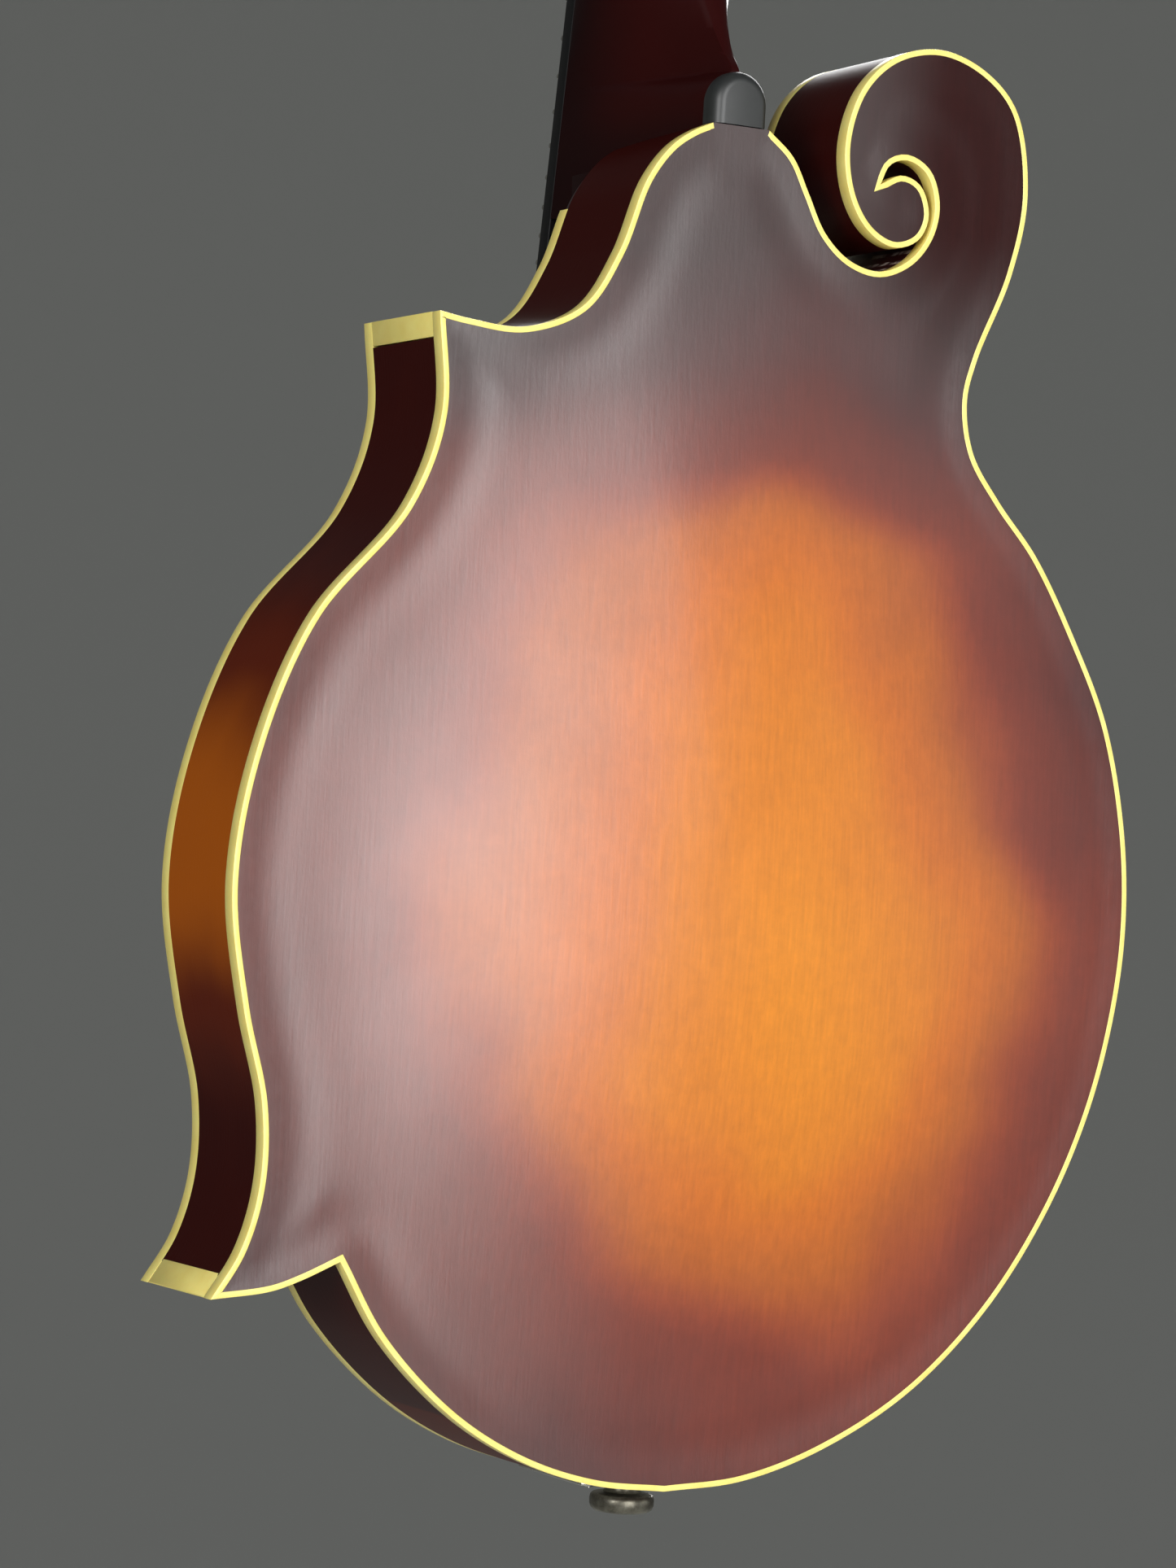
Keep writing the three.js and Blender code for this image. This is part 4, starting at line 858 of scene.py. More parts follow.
# Nearly black red lacquer that lets a little of the wood's warmth through.
dark_neck = new_material("dark_lacquer_on_maple")
where = node(dark_neck, "TexCoord").outputs["Object"]
depth_tone = node(dark_neck, "Attribute", attribute_name="shade").outputs["Fac"]
curl = node(dark_neck, "TexNoise", [(where, "Vector")], {"Scale": 30.0, "Detail": 3.0})
curl_shift = node(dark_neck, "MapRange", [(curl.outputs["Fac"], "Value")], {"To Min": -0.2, "To Max": 0.2})
neck_shade = node(dark_neck, "Math", [(depth_tone, 0), (curl_shift.outputs[0], 1)], operation="ADD")
neck_ramp = node(dark_neck, "ValToRGB", [(neck_shade.outputs[0], "Fac")])
neck_ramp.color_ramp.elements[0].color = linear("#040102")
neck_ramp.color_ramp.elements[1].color = linear("#290302")
neck_bump = node(dark_neck, "Bump", [(curl.outputs["Fac"], "Height")], {"Strength": 0.05, "Distance": 0.0005})
surface(dark_neck, node(dark_neck, "BsdfPrincipled", [
    (neck_ramp.outputs[0], "Base Color"), (neck_bump.outputs[0], "Normal")], {
    "Roughness": 0.4, "Specular IOR Level": 0.16}))

neck = bmesh.new()
levels = [NECK_JOINT - 19.7 + 0.9 * k for k in range(55)]
levels += [levels[-1] + 4 * k for k in range(1, 200) if levels[-1] + 4 * k < NECK_TOP - 2] + [NECK_TOP]
previous = None
for z in levels:
    ring = [neck.verts.new(p) for p in neck_ring(z, 44)]
    edges = [neck.edges.new(pair) for pair in zip(ring, ring[1:] + ring[:1])]
    if previous:
        bmesh.ops.bridge_loops(neck, edges=previous + edges)
    else:
        bmesh.ops.holes_fill(neck, edges=edges, sides=0)
    previous = edges
bmesh.ops.holes_fill(neck, edges=previous, sides=0)


def prism_from(bm, outline_points, low, high, place=None):
    """Adds a slab with an outline in X and Z between two depths, moved by a matrix."""
    ring = [bm.verts.new((x, low, z)) for x, z in outline_points]
    face = bm.faces.new(ring)
    lifted = extruded(bm, [face], (0, high - low, 0))
    if place:
        bmesh.ops.transform(bm, matrix=place, verts=ring + lifted)
    return ring + lifted


support_low = NECK_JOINT - 51
support_high = NECK_JOINT - 9
support_back = -EDGE_FACE - 0.4
support_front = board_face(support_low) + 8
bmesh.ops.create_cube(neck, size=1, matrix=Matrix.Translation((
    0, (support_back + support_front) / 2, (support_low + support_high) / 2)) @ Matrix.Diagonal((
        38, support_back - support_front, support_high - support_low, 1)))
HEAD_HALF = 31.5
HEAD_LENGTH = 152.0
HEAD_THICKNESS = 15.0
VENEER = 2.0
head_outline = curve_through([
    (-0.46, 0.0), (-0.51, 0.05), (-0.85, 0.115), (-1, 0.17), (-1, 0.26), (-0.94, 0.45), (-0.92, 0.62),
    (-1, 0.75), (-1.12, 0.85), (-1.08, 0.94), (-0.8, 0.985), (-0.46, 0.965), (-0.26, 0.91), (0, 0.885),
    (0.26, 0.915), (0.6, 0.97), (0.95, 1)], 0.03)
head_outline += curve_through([
    (0.95, 1), (1.06, 0.91), (0.96, 0.78), (0.91, 0.62), (0.94, 0.45), (1, 0.26), (1, 0.17),
    (0.85, 0.115), (0.51, 0.05), (0.46, 0.0)], 0.03)[1:]
head_outline = [(p.x * HEAD_HALF, p.y * HEAD_LENGTH) for p in head_outline]
wood_outline = [(x, z - 1.2 if z < 1 else z) for x, z in head_outline]
prism_from(neck, wood_outline, VENEER + GLUE, HEAD_THICKNESS, HEAD)
bmesh.ops.recalc_face_normals(neck, faces=neck.faces)
round_corners(neck, 0.8, 3, 60)
shade_layer = neck.verts.layers.float.new("shade")
for v in neck.verts:
    depth = (v.co.y - board_face(v.co.z)) / 30
    v[shade_layer] = 0.25 + 0.65 * ease(0.1, 1.1, depth) * (1 - 0.5 * ease(0, 12, NECK_JOINT + 8 - v.co.z))
to_body(neck)
neck_piece = finish_mesh("neck_shaft", neck, [dark_neck], 45)
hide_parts("neck")

# ---- Heel cap ------------------------------------------------------------------------
# A small dome of satin ebony over the end of the heel, flush with the back's face. A thin
# glue line shows between it and the back's edge.

# Almost black, with long fine pores and a dull sheen.
ebony = two_tone("satin_ebony", "TexNoise", {"Scale": 1.0, "Detail": 4.0}, ("#070707", "#151516"), {
    "Roughness": 0.44, "Specular IOR Level": 0.25}, bump=0.08, stretch=(1500, 1500, 120))
# The same ebony painted a lighter grey: a painted sheen standing in for the grey reflection the wood shows
# when seen flat to the light.
cap_painted_sheen = two_tone("ebony_painted_grey_sheen", "TexNoise", {"Scale": 700.0, "Detail": 4.0},
                      ("#141616", "#232625"), {"Roughness": 0.46, "Specular IOR Level": 0.8})

cap_outline = []
for k in range(41):
    rise = HEEL_RISE * (0.4 + 0.6 * math.sin(math.pi * k / 40))
    cap_outline.append((HEEL_MIDDLE + heel_half(rise) * (1 if k < 20 else -1), NECK_JOINT + rise))
cap_outline += [(HEEL_MIDDLE + side * HEEL_HALF, NECK_JOINT + GLUE * 2) for side in (-1, 1)]
CAP_ROUND = 3.8
cap = bmesh.new()
prism_from(cap, cap_outline, RIB_FACE - 3, EDGE_FACE - CAP_ROUND + 0.2)
bmesh.ops.recalc_face_normals(cap, faces=cap.faces)
rear = max(cap.faces, key=lambda f: f.calc_center_median().y)
angles = [math.radians(90) * k / 7 for k in range(8)]
for low, high in zip(angles, angles[1:]):
    bmesh.ops.inset_region(
        cap, faces=[rear], thickness=CAP_ROUND * (math.cos(low) - math.cos(high)) * 0.8,
        depth=CAP_ROUND * (math.sin(high) - math.sin(low)), use_even_offset=True)
    for v in rear.verts:
        if v.co.z < NECK_JOINT + CAP_ROUND + 0.5:
            v.co.z = NECK_JOINT + GLUE * 2
bmesh.ops.recalc_face_normals(cap, faces=cap.faces)
to_body(cap)
# The heel cap takes the ebony with its painted grey sheen, not its own near-black colour.
heel_cap = finish_mesh("heel_cap_dome", cap, [cap_painted_sheen], 50)
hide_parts("heel_cap")

# ---- Fingerboard, frets and nut ------------------------------------------------------
# A flat ebony board glued on the neck and carried over the body, with nickel-silver frets
# at the equal-tempered places, pearl dots, and a bone nut with eight string slots.


def handled_metal(name, code, pattern, smooth, rough):
    """A bare metal in one colour, with a roughness that varies as it does after handling."""
    made = new_material(name)
    where = node(made, "TexCoord").outputs["Object"]
    wear = node(made, "TexNoise", [(where, "Vector")], pattern)
    roughness = node(made, "MapRange", [(wear.outputs["Fac"], "Value")], {"To Min": smooth, "To Max": rough})
    return surface(made, node(made, "BsdfPrincipled", [(roughness.outputs[0], "Roughness")], {
        "Base Color": linear(code), "Metallic": 1.0}))


# Bright silvery plate, clouded by fingers.
nickel = handled_metal("polished_nickel_plate", "#C9C6BE", {"Scale": 300.0, "Detail": 5.0}, 0.16, 0.34)
# White with a cool, cloudy shimmer.
pearl = two_tone("mother_of_pearl", "TexNoise", {"Scale": 420.0, "Detail": 3.0, "Distortion": 2.0},
                 ("#C8D2CC", "#F4EEE4"), {"Roughness": 0.22, "Sheen Weight": 0.2})
# Off-white, smooth, with faint yellow clouds.
bone = two_tone("polished_bone", "TexNoise", {"Scale": 500.0, "Detail": 4.0}, ("#D9CDB0", "#F0E8D4"), {
    "Roughness": 0.35})

board = bmesh.new()
board_end = board_half(-BOARD_OVERHANG)
prism_from(board, [(-board_end, -BOARD_OVERHANG), (-NUT_WIDTH / 2, NECK_LENGTH),
                   (NUT_WIDTH / 2, NECK_LENGTH), (board_end, -BOARD_OVERHANG)], 0, BOARD_THICKNESS, NECK)
bmesh.ops.recalc_face_normals(board, faces=board.faces)
round_corners(board, 0.5, 3, 60)
to_body(board)
fingerboard = finish_mesh("fingerboard_ebony", board, [ebony], 40)
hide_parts("fingerboard")

frets = bmesh.new()
FRET_CROWN = [(-0.7, 0.2), (-0.65, -0.35), (-0.35, -0.75), (0, -0.9), (0.35, -0.75), (0.65, -0.35),
              (0.7, 0.2)]
for fret in range(1, 22):
    place = NECK_LENGTH - fret_distance(fret)
    half = board_half(place) - 0.15
    ring = [frets.verts.new((-half, y, place + z)) for z, y in FRET_CROWN]
    face = frets.faces.new(ring)
    extruded(frets, [face], (half * 2, 0, 0))
bmesh.ops.transform(frets, matrix=NECK, verts=frets.verts)
bmesh.ops.recalc_face_normals(frets, faces=frets.faces)
to_body(frets)
finish_mesh("frets", frets, [nickel], 40)

dots = bmesh.new()
DOT_RADIUS = 2.6
for fret, spread in ((3, 0), (5, 0), (7, 0), (10, 0), (12, 7), (15, 0), (17, 0)):
    place = NECK_LENGTH - (fret_distance(fret) + fret_distance(fret - 1)) / 2
    for x in ((-spread, spread) if spread else (0,)):
        bmesh.ops.create_cone(
            dots, cap_ends=True, segments=28, radius1=DOT_RADIUS, radius2=DOT_RADIUS, depth=0.4,
            matrix=Matrix.Translation((x, 0.15, place)) @ Matrix.Rotation(math.pi / 2, 4, "X"))
bmesh.ops.transform(dots, matrix=NECK, verts=dots.verts)
to_body(dots)
finish_mesh("pearl_dots", dots, [pearl], 40)

COURSES = [("g", 1.02, -1, True), ("d", 0.66, -1, False), ("a", 0.41, 1, False), ("e", 0.28, 1, True)]
NUT_RISE = 0.9
NUT_SPREAD, NUT_GAP = 7.6, 2.4
SADDLE_SPREAD, SADDLE_GAP = 13, 3.2


def string_x(index, spacing, gap):
    """Where a string crosses: four courses evenly spread, with two strings in each."""
    return (index // 2 - 1.5) * spacing + (index % 2 - 0.5) * gap


nut = bmesh.new()
nut_profile = [(NUT_WIDTH / 2, BOARD_THICKNESS), (-NUT_WIDTH / 2, BOARD_THICKNESS),
               (-NUT_WIDTH / 2, -NUT_RISE - 0.3)]
for index in range(8):
    x = string_x(index, NUT_SPREAD, NUT_GAP)
    half = COURSES[index // 2][1] / 2 + 0.1
    nut_profile += [(x - half, -NUT_RISE - 0.3), (x - half * 0.6, -NUT_RISE + 0.1),
                    (x + half * 0.6, -NUT_RISE + 0.1), (x + half, -NUT_RISE - 0.3)]
nut_profile.append((NUT_WIDTH / 2, -NUT_RISE - 0.3))
ring = [nut.verts.new((x, y, NECK_LENGTH + GLUE)) for x, y in nut_profile]
extruded(nut, [nut.faces.new(ring)], (0, 0, NUT_THICKNESS - GLUE * 2))
bmesh.ops.transform(nut, matrix=NECK, verts=nut.verts)
bmesh.ops.recalc_face_normals(nut, faces=nut.faces)
round_corners(nut, 0.15, 2, 60)
to_body(nut)
nut_piece = finish_mesh("nut_bone", nut, [bone], 40)
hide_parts("nut")

# ---- Head veneer and truss rod cover -------------------------------------------------
# Black-dyed veneer over the head's face. A small ebony plate, held by two screws, covers
# the slot where the truss rod's nut is turned.

POST_X = 17.5
POST_PLACES = [34.0 + 23.0 * k for k in range(4)]
POST_RADIUS = 3.0


def turned(bm, profile, place, segments=32):
    """Spins a profile of (radius, height) about Z and moves it by a matrix."""
    verts = [bm.verts.new((r, 0, h)) for r, h in profile]
    edges = [bm.edges.new(pair) for pair in zip(verts, verts[1:])]
    made = bmesh.ops.spin(bm, geom=verts + edges, cent=(0, 0, 0), axis=(0, 0, 1), angle=math.tau,
                          steps=segments, use_merge=True)
    shell = {g for g in made["geom_last"] if isinstance(g, bmesh.types.BMVert)} | set(verts)
    todo = list(shell)
    while todo:
        for e in todo.pop().link_edges:
            for v in e.verts:
                if v not in shell:
                    shell.add(v)
                    todo.append(v)
    bmesh.ops.remove_doubles(bm, verts=[v for v in shell if v.is_valid], dist=0.001)
    shell = [v for v in shell if v.is_valid]
    faces = {f for v in shell for f in v.link_faces}
    bmesh.ops.recalc_face_normals(bm, faces=list(faces))
    bmesh.ops.transform(bm, matrix=place, verts=shell)


ACROSS = Matrix.Rotation(math.pi / 2, 4, "X")
veneer_outline = [(x, max(z, 0.9)) for x, z in head_outline]
veneer = bmesh.new()
prism_from(veneer, veneer_outline, 0, VENEER, HEAD)
bmesh.ops.remove_doubles(veneer, verts=veneer.verts, dist=0.001)
bmesh.ops.recalc_face_normals(veneer, faces=veneer.faces)
round_corners(veneer, 0.35, 2, 60)
to_body(veneer)
head_veneer = finish_mesh("head_veneer_face", veneer, [ebony], 40)
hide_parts("head_veneer")

rod_cover = bmesh.new()
cover_edge = curve_through([(-5.5, 3), (-6.5, 12), (-5, 22), (0, 29), (5, 22), (6.5, 12), (5.5, 3)], 1.0)
prism_from(rod_cover, cover_edge, -1.7, -GLUE, HEAD)
bmesh.ops.recalc_face_normals(rod_cover, faces=rod_cover.faces)
round_corners(rod_cover, 0.5, 3, 60)
to_body(rod_cover)
rod_plate = finish_mesh("truss_rod_plate", rod_cover, [ebony], 40)
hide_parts("truss_rod_cover")
SCREW = [(0, -0.75), (0.25, -0.75), (0.25, -0.45), (0.35, -0.4), (0.7, -0.5), (1.3, -0.1), (1.35, 0.15),
         (0, 0.15)]


def screws(name, places, matrix, material, body="instrument"):
    """Small round-headed wood screws whose heads face -Y in a group's own frame."""
    bm = bmesh.new()
    for x, y, z, facing in places:
        profile = [(r, -facing * h) for r, h in SCREW]
        turned(bm, profile, matrix @ Matrix.Translation((x, y, z)) @ ACROSS.inverted(), 16)
    to_body(bm)
    piece = finish_mesh(name, bm, [material], 40, body)
    return piece


screws("rod_cover_screws", [(0, -1.7, 5.5, -1), (0, -1.7, 25.5, -1)], HEAD, nickel)

# ---- Tuners: plates, keys and string posts -------------------------------------------
# Open-geared tuners on two nickel plates screwed to the back of the head. Each key turns a
# steel worm, and the worm turns a brass gear of 15 teeth on the string's post, 15 to 1.

TUNER_PLATE = 1.2
GEAR_RADIUS = 4.6
WORM_RADIUS = 2.3
KEY_SHAFT = 1.45
GEAR_THICKNESS = 3.0
GEAR_TEETH = 15
GEAR_MIDDLE = HEAD_THICKNESS + TUNER_PLATE + GLUE * 2 + GEAR_THICKNESS / 2 + 0.8
WORM_DROP = GEAR_RADIUS + WORM_RADIUS + 0.3
POST_RISE = 14.0
BUTTON_START = 38.5

# Yellow metal, browned in patches.
brass = two_tone("worn_brass", "TexNoise", {"Scale": 240.0, "Detail": 4.0}, ("#8C6A34", "#C9A35A"), {
    "Metallic": 1.0, "Roughness": 0.32})
# Glossy white plastic with a flaky, pearl-like figure.
pearloid = two_tone("pearloid_button", "TexVoronoi", {"Scale": 380.0, "Randomness": 1.0},
                    ("#F5F1E6", "#C9C6BC"), {"Roughness": 0.2}, value="Distance")

for name in ("tuner_plate_bass", "tuner_plate_treble"):
    refined(name, nickel, 0.25)
for name, side in (("bass", -1), ("treble", 1)):
    places = [(side * POST_X + dx, HEAD_THICKNESS + GLUE + TUNER_PLATE, z, 1)
              for z in [POST_PLACES[0] - WORM_DROP - 4] + [p + 10.5 for p in POST_PLACES[:3]]
              for dx in (-4.6, 4.6)]
    screws("tuner_screws_" + name, places, HEAD, nickel)


def worm_thread(bm, radius, depth, pitch, length, place, steps=14):
    """Adds a screw thread: a small ridge wound round Z along a length."""
    turns = length / pitch
    points = [(radius - 0.05, -pitch * 0.42), (radius + depth, -pitch * 0.1),
              (radius + depth, pitch * 0.1), (radius - 0.05, pitch * 0.42)]
    verts = [bm.verts.new((r, 0, h - length / 2)) for r, h in points]
    edges = [bm.edges.new(pair) for pair in zip(verts, verts[1:] + verts[:1])]
    before = set(bm.verts)
    bmesh.ops.spin(bm, geom=verts + edges, cent=(0, 0, 0), axis=(0, 0, 1), angle=math.tau * turns,
                   dvec=(0, 0, length / (steps * turns)), steps=int(steps * turns), use_merge=False)
    made = verts + [v for v in bm.verts if v not in before]
    open_edges = [e for v in made for e in v.link_edges if len(e.link_faces) == 1]
    bmesh.ops.holes_fill(bm, edges=list(set(open_edges)), sides=0)
    bmesh.ops.recalc_face_normals(bm, faces=list({f for v in made for f in v.link_faces}))
    bmesh.ops.transform(bm, matrix=place, verts=made)


def post_rows(side, is_outer):
    """Where a course's two posts stand along the head."""
    rows = POST_PLACES[:2] if is_outer else POST_PLACES[2:]
    return rows[::-1] if side > 0 else rows


KEY_AXIS = Matrix.Rotation(math.pi / 2, 4, "Y")
for course, gauge, side, is_outer in COURSES:
    rows = post_rows(side, is_outer)
    for member in (0, 1):
        name = course + str(member + 1)
        z = rows[member]
        row = HEAD @ Matrix.Translation((0, GEAR_MIDDLE, z - WORM_DROP)) @ KEY_AXIS
        metal_part = bmesh.new()
        inner = side * (POST_X - 7.0)
        outer = side * (BUTTON_START + 3)
        low, high = sorted((inner, outer))
        turned(metal_part, [(0, low), (KEY_SHAFT - 0.3, low), (KEY_SHAFT, low + 0.3), (KEY_SHAFT, high - 0.3),
                            (KEY_SHAFT - 0.3, high), (0, high)], row, 20)
        middle = side * POST_X
        turned(metal_part, [(KEY_SHAFT - 0.1, middle - 4.4), (1.75, middle - 4.4), (1.75, middle + 4.4),
                            (KEY_SHAFT - 0.1, middle + 4.4)], row, 20)
        worm_thread(metal_part, 1.75, 0.5, 1.9, 6.6, row @ Matrix.Translation((0, 0, middle)))
        neck_from, neck_to = sorted((side * (BUTTON_START - 4.5), side * (BUTTON_START + 0.8)))
        turned(metal_part, [(KEY_SHAFT, neck_from), (2.3, neck_from), (2.5, neck_from + 0.4),
                            (2.5, neck_to - 0.4), (2.3, neck_to), (KEY_SHAFT, neck_to)], row, 20)
        to_body(metal_part)
        worm = finish_mesh("key_worm_" + name, metal_part, [nickel], 40, "key_" + name)
        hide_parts("tuner_key_" + name)
        grip = bmesh.new()
        bmesh.ops.create_uvsphere(grip, u_segments=32, v_segments=20, radius=1)
        bmesh.ops.scale(grip, verts=grip.verts, vec=(6.1, 3.8, 6.4))
        for v in grip.verts:
            waist = 1 - 0.22 * math.exp(-(v.co.x / 3.4) ** 2) * min(abs(v.co.y) / 2.0, 1)
            v.co.y *= waist
        bmesh.ops.transform(grip, verts=grip.verts, matrix=HEAD @ Matrix.Translation((
            side * (BUTTON_START + 6.5), GEAR_MIDDLE, z - WORM_DROP)) @ Matrix.Rotation(math.pi / 2, 4, "Y"))
        to_body(grip)
        finish_mesh("key_button_" + name, grip, [pearloid], 60, "key_" + name)

        axle = HEAD @ Matrix.Translation((side * POST_X, 0, z)) @ ACROSS.inverted()
        post = bmesh.new()
        turned(post, [(0, -POST_RISE), (1.6, -POST_RISE), (2.4, -POST_RISE + 0.4), (2.7, -POST_RISE + 1.2),
                      (POST_RADIUS, -POST_RISE + 1.8), (2.75, -POST_RISE + 5), (2.75, -4.5),
                      (POST_RADIUS, -3.2), (POST_RADIUS, GEAR_MIDDLE - 1.6), (0, GEAR_MIDDLE - 1.6)],
               axle, 28)
        to_body(post)
        shaft = finish_mesh("post_shaft_" + name, post, [nickel], 40, "post_" + name)
        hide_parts("string_post_" + name)
        gear = bmesh.new()
        tooth = math.tau / GEAR_TEETH
        rim_points = []
        for k in range(GEAR_TEETH):
            for share, cut in ((-0.3, 0.75), (-0.17, 0.1), (-0.06, 0), (0.06, 0), (0.17, 0.1), (0.3, 0.75)):
                radius = GEAR_RADIUS - cut
                turn = (k + share) * tooth
                rim_points.append((radius * math.cos(turn), radius * math.sin(turn)))
        prism_from(gear, rim_points, GEAR_MIDDLE - GEAR_THICKNESS / 2, GEAR_MIDDLE + GEAR_THICKNESS / 2)
        turned(gear, [(0, GEAR_MIDDLE + 2.2), (1.1, GEAR_MIDDLE + 2.2), (1.9, GEAR_MIDDLE + 1.9),
                      (2.0, GEAR_MIDDLE + 1.4), (0, GEAR_MIDDLE + 1.4)], ACROSS.inverted(), 20)
        bmesh.ops.transform(gear, verts=gear.verts, matrix=HEAD @ Matrix.Translation((side * POST_X, 0, z)))
        bmesh.ops.recalc_face_normals(gear, faces=gear.faces)
        to_body(gear)
        finish_mesh("post_gear_" + name, gear, [brass], 30, "post_" + name)

bushings = bmesh.new()
for side in (-1, 1):
    for z in POST_PLACES:
        turned(bushings, [(3.35, 0.2), (3.35, -1.1), (3.9, -1.2), (4.7, -0.6), (4.9, 0.05), (3.35, 0.2)],
               HEAD @ Matrix.Translation((side * POST_X, 0, z)) @ ACROSS.inverted(), 28)
to_body(bushings)
finish_mesh("post_bushings", bushings, [nickel], 40)

# ---- Bridge --------------------------------------------------------------------------
# Two pieces of ebony. The base stands on the top and carries two brass posts; knurled
# wheels on the posts lift the saddle, whose crest steps back and forth for true tuning.

bridge_low, bridge_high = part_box("bridge_saddle")
BRIDGE_Z = ((bridge_low.z + bridge_high.z) / 2 - BODY_TAIL) / MM
SADDLE_TOP = (bridge_low.y - BODY_MIDDLE) / MM
wheel_low, wheel_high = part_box("thumbwheel_bass")
WHEEL_FROM = (wheel_low.y - BODY_MIDDLE) / MM
WHEEL_TO = (wheel_high.y - BODY_MIDDLE) / MM
WHEEL_X = 38.0
refined("bridge_base", ebony, 0.7, 20, 3)
refined("bridge_saddle", ebony, 0.35, 24, 3)

for name, side in (("bass", -1), ("treble", 1)):
    axle = Matrix.Translation((side * WHEEL_X, 0, BRIDGE_Z)) @ ACROSS.inverted()
    wheel = bmesh.new()
    knurl = 40
    rim_points = []
    for k in range(knurl * 2):
        radius = 7.0 if k % 2 else 6.7
        rim_points.append((radius * math.cos(math.pi * k / knurl), radius * math.sin(math.pi * k / knurl)))
    prism_from(wheel, rim_points, WHEEL_FROM + 0.3, WHEEL_TO - 0.3)
    for face_y, step in ((WHEEL_FROM, 0.35), (WHEEL_TO, -0.35)):
        turned(wheel, [(2.15, face_y), (6.2, face_y), (6.6, face_y + step), (2.15, face_y + step)],
               ACROSS.inverted(), 40)
    bmesh.ops.translate(wheel, verts=wheel.verts, vec=(side * WHEEL_X, 0, BRIDGE_Z))
    bmesh.ops.recalc_face_normals(wheel, faces=wheel.faces)
    to_body(wheel)
    knurled = finish_mesh("knurled_wheel_" + name, wheel, [brass], 25, "wheel_" + name)
    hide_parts("thumbwheel_" + name)
    stud_low, stud_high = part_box("bridge_post_" + name)
    foot = (stud_high.y - BODY_MIDDLE) / MM
    tip = (stud_low.y - BODY_MIDDLE) / MM
    stud = bmesh.new()
    turned(stud, [(0, tip), (1.3, tip), (1.55, tip + 0.4), (1.55, foot - 0.1), (0, foot - 0.1)], axle, 20)
    worm_thread(stud, 1.5, 0.28, 0.7, foot - tip - 1.4,
                axle @ Matrix.Translation((0, 0, (foot + tip) / 2)), 12)
    to_body(stud)
    threaded = finish_mesh("threaded_stud_" + name, stud, [brass], 40)
    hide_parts("bridge_post_" + name)

# ---- Tailpiece and end pin -----------------------------------------------------------
# A folded nickel-plated plate, screwed to the end of the body, with a hook for each string
# and a cover that slides off toward the tail. The turned metal end pin has gone dull grey.

TAIL_SHEET = 1.2
TAIL_LEAN = math.atan2(TOP_ARCH * 0.22, 62)
TAIL_GAP = 0.3
TAIL = (Matrix.Translation((0, -EDGE_FACE - 4 - TAIL_SHEET, -TAIL_SHEET - TAIL_GAP)) @
        Matrix.Rotation(TAIL_LEAN, 4, "X"))
tail_sheet = refined("tailpiece_base", nickel, 0.3, 40)


def tail_rise(x):
    """How far the body's end rises from its lowest place, at a place across."""
    return 0.0046 * x * x


for v in tail_sheet.data.vertices:
    if v.co.z < BODY_TAIL + 0.3 * MM:
        v.co.z += tail_rise(v.co.x / MM) * MM
refined("tailpiece_cover", nickel, 0.45, 20, 3)
flange_screws = bmesh.new()
for x, y in ((-10.5, -15), (10.5, -15), (-10.5, 1.5), (10.5, 1.5)):
    place = Matrix.Translation((x, y, tail_rise(x) - TAIL_SHEET - TAIL_GAP))
    turned(flange_screws, [(r * 1.2, -h) for r, h in SCREW], place @ Matrix.Rotation(math.pi, 4, "X"), 16)
to_body(flange_screws)
finish_mesh("flange_screws", flange_screws, [nickel], 40)

# Plate worn dull, grey and pitted.
aged_nickel = two_tone("aged_nickel", "TexNoise", {"Scale": 320.0, "Detail": 6.0, "Roughness": 0.7},
                       ("#4A463C", "#8C897C"), {"Metallic": 0.9, "Roughness": 0.38},
                       bump=0.1, stops=(0.3, 0.7))

PIN_TOP = -1.8
PIN_HEAD = PIN_TOP - 1.4
pin = bmesh.new()
turned(pin, [
    (0, PIN_HEAD - 4.1), (1.1, PIN_HEAD - 4.2), (2.0, PIN_HEAD - 4.75), (2.6, PIN_HEAD - 5),
    (5.2, PIN_HEAD - 5), (6.9, PIN_HEAD - 4.7), (7.8, PIN_HEAD - 4.0), (8.2, PIN_HEAD - 3.0),
    (8.25, PIN_HEAD - 1.6), (8.05, PIN_HEAD - 0.7), (7.5, PIN_HEAD - 0.2), (6.4, PIN_HEAD),
    (5.0, PIN_HEAD + 0.2), (4.6, PIN_HEAD + 0.7), (4.6, PIN_TOP), (3.2, PIN_TOP), (2.8, 14.4),
    (0, 14.4)], Matrix.Identity(4), 56)
to_body(pin)
end_pin = finish_mesh("strap_pin", pin, [aged_nickel], 40)
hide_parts("end_pin")

# ---- Strings -------------------------------------------------------------------------
# Four pairs: the two low courses are steel wound with bronze, the two high ones plain
# steel. Each runs from its post over the nut and the saddle to a looped end on its hook.

# Thin bright wire.
steel = handled_metal("plain_steel_wire", "#C4C4BF", {"Scale": 500.0, "Detail": 2.0}, 0.2, 0.36)
# Copper-coloured wire with a ribbed winding. The real winding is 0.2 mm wire; it is drawn
# 0.6 mm apart so that it shows.
bronze = two_tone("bronze_wound_wire", "TexWave", {"Scale": 520.0}, ("#7A5230", "#C9996A"), {
    "Metallic": 1.0, "Roughness": 0.35}, bump=0.4, bands_direction="Z")


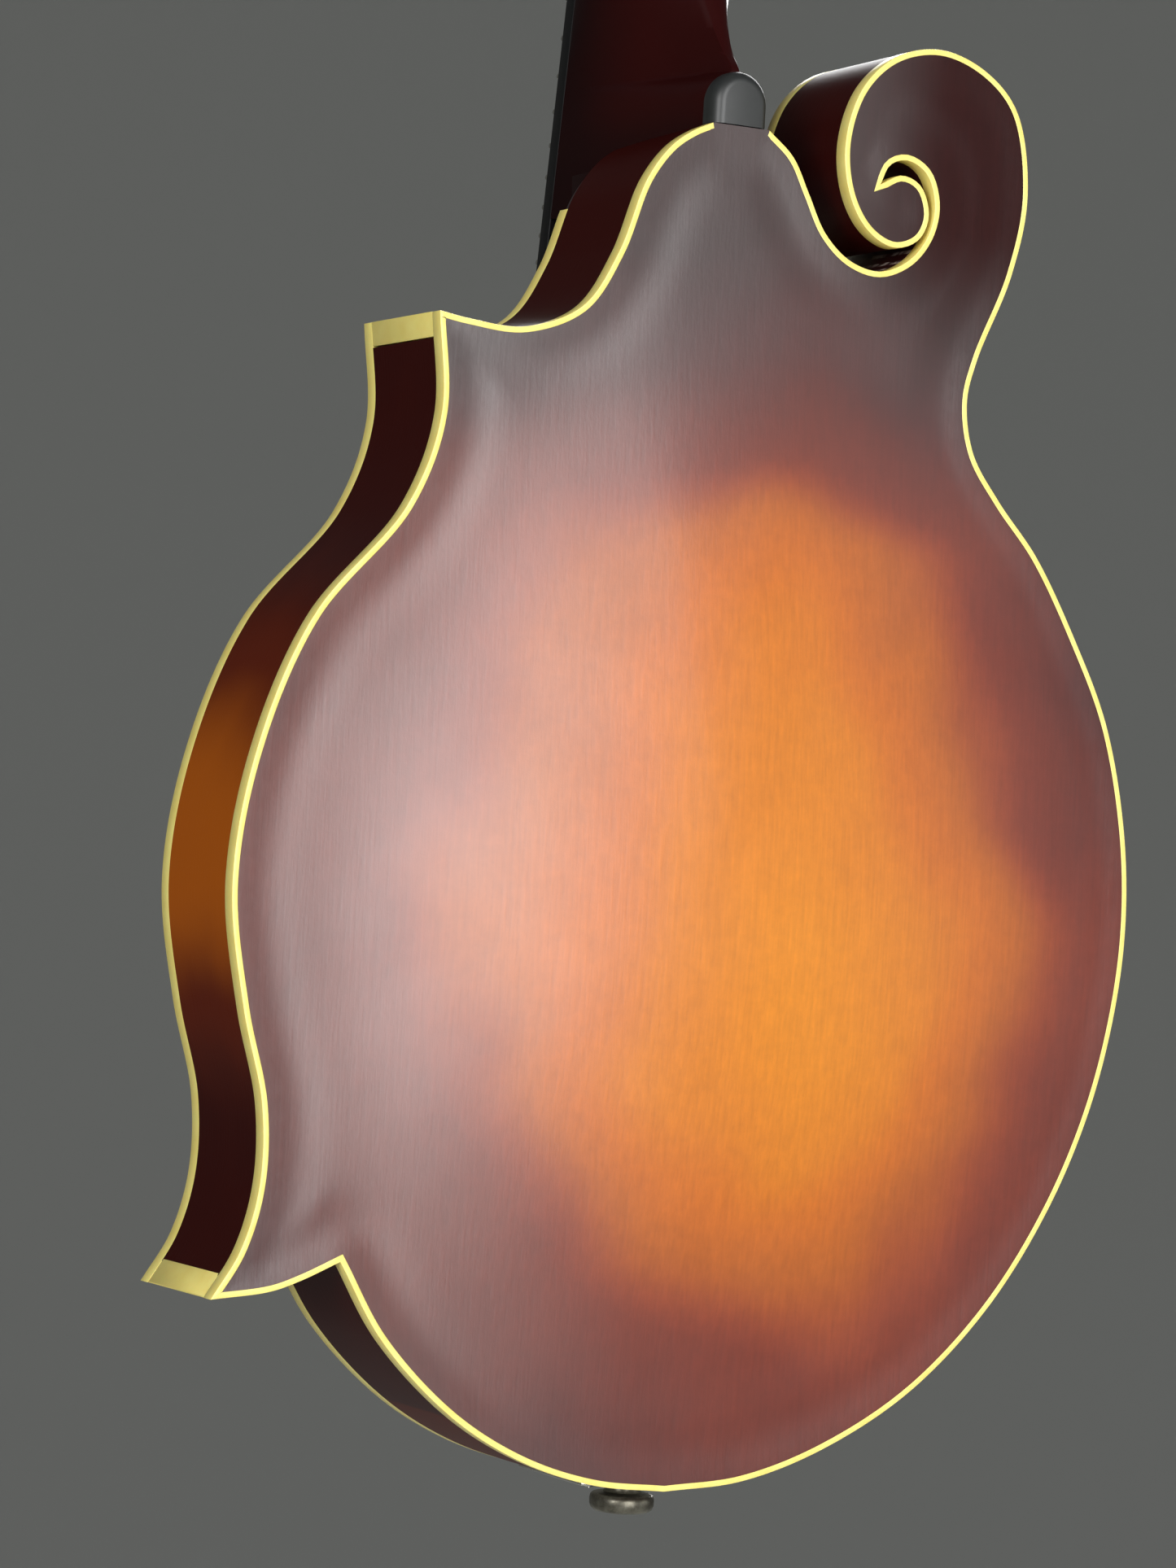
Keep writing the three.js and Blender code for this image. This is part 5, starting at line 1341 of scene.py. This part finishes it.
def wire(bm, path, radius, sides=8):
    """A round wire of one radius through a list of places."""
    previous = None
    for i, here in enumerate(path):
        ahead = (path[min(i + 1, len(path) - 1)] - path[max(i - 1, 0)]).normalized()
        made = bmesh.ops.create_circle(bm, segments=sides, radius=radius)["verts"]
        turn = ahead.to_track_quat("Z", "Y").to_matrix().to_4x4()
        bmesh.ops.transform(bm, verts=made, matrix=Matrix.Translation(here) @ turn)
        edges = list({e for v in made for e in v.link_edges if len(e.link_faces) == 0})
        if previous:
            bmesh.ops.bridge_loops(bm, edges=previous + edges)
        else:
            bmesh.ops.holes_fill(bm, edges=edges, sides=0)
        previous = edges
    bmesh.ops.holes_fill(bm, edges=previous, sides=0)


def steps_between(a, b, count):
    """Even steps from one place to another, without the last."""
    return [a.lerp(b, k / count) for k in range(count)]


HOOK_SHARE = 26 / 42.2
for c, (course, gauge, side, is_outer) in enumerate(COURSES):
    rows = post_rows(side, is_outer)
    for member in (0, 1):
        name = course + str(member + 1)
        index = c * 2 + member
        half = gauge / 2
        finish = bronze if side < 0 else steel
        z = rows[member]
        wrap = POST_RADIUS - 0.2 + half
        leaves = HEAD @ Vector((side * (POST_X - wrap), -POST_RISE / 2, z))
        nut_place = NECK @ Vector((string_x(index, NUT_SPREAD, NUT_GAP), -NUT_RISE - half,
                                   NECK_LENGTH + NUT_THICKNESS * 0.5))
        saddle_x = string_x(index, SADDLE_SPREAD, SADDLE_GAP)
        crest = Vector((saddle_x, SADDLE_TOP - half - 0.05, BRIDGE_Z))
        lip = TAIL @ Vector((saddle_x * HOOK_SHARE, -2 - half, 61.4))
        hook = TAIL @ Vector((saddle_x * HOOK_SHARE, -1.75 - half, 17.6))
        speaking = bmesh.new()
        path = steps_between(leaves, nut_place, 4) + steps_between(nut_place, crest, 24) + [crest]
        wire(speaking, path, half)
        to_body(speaking)
        piece = finish_mesh("string_length_" + name, speaking, [finish], 60, None)
        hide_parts("string_" + name)
        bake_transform(piece)
        tail = bmesh.new()
        wire(tail, steps_between(crest, lip, 8) + steps_between(lip, hook, 4) + [hook], half)
        to_body(tail)
        piece = finish_mesh("string_tail_" + name, tail, [finish], 60, None)
        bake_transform(piece)
        loop = bmesh.new()
        centre = TAIL @ Vector((saddle_x * HOOK_SHARE, -1.75 - half, 14))
        turns = [centre + (TAIL.to_3x3() @ Vector((1.7 * math.sin(t), 0, 3.4 * math.cos(t))))
                 for t in [math.tau * k / 20 for k in range(21)]]
        wire(loop, turns, min(half, 0.25), 6)
        to_body(loop)
        finish_mesh("string_loop_" + name, loop, [steel], 60)
        coil = bmesh.new()
        coils = []
        for k in range(61):
            t = (math.pi if side > 0 else 0) + side * (math.tau * k / 20)
            depth = -POST_RISE / 2 + k * gauge * 1.05 / 20
            coils.append(HEAD @ Vector((side * POST_X + wrap * math.cos(t), depth, z + wrap * math.sin(t))))
        wire(coil, coils, half, 8)
        to_body(coil)
        finish_mesh("string_coil_" + name, coil, [finish], 60, "post_" + name)

refined("truss_rod", steel, 0.0)
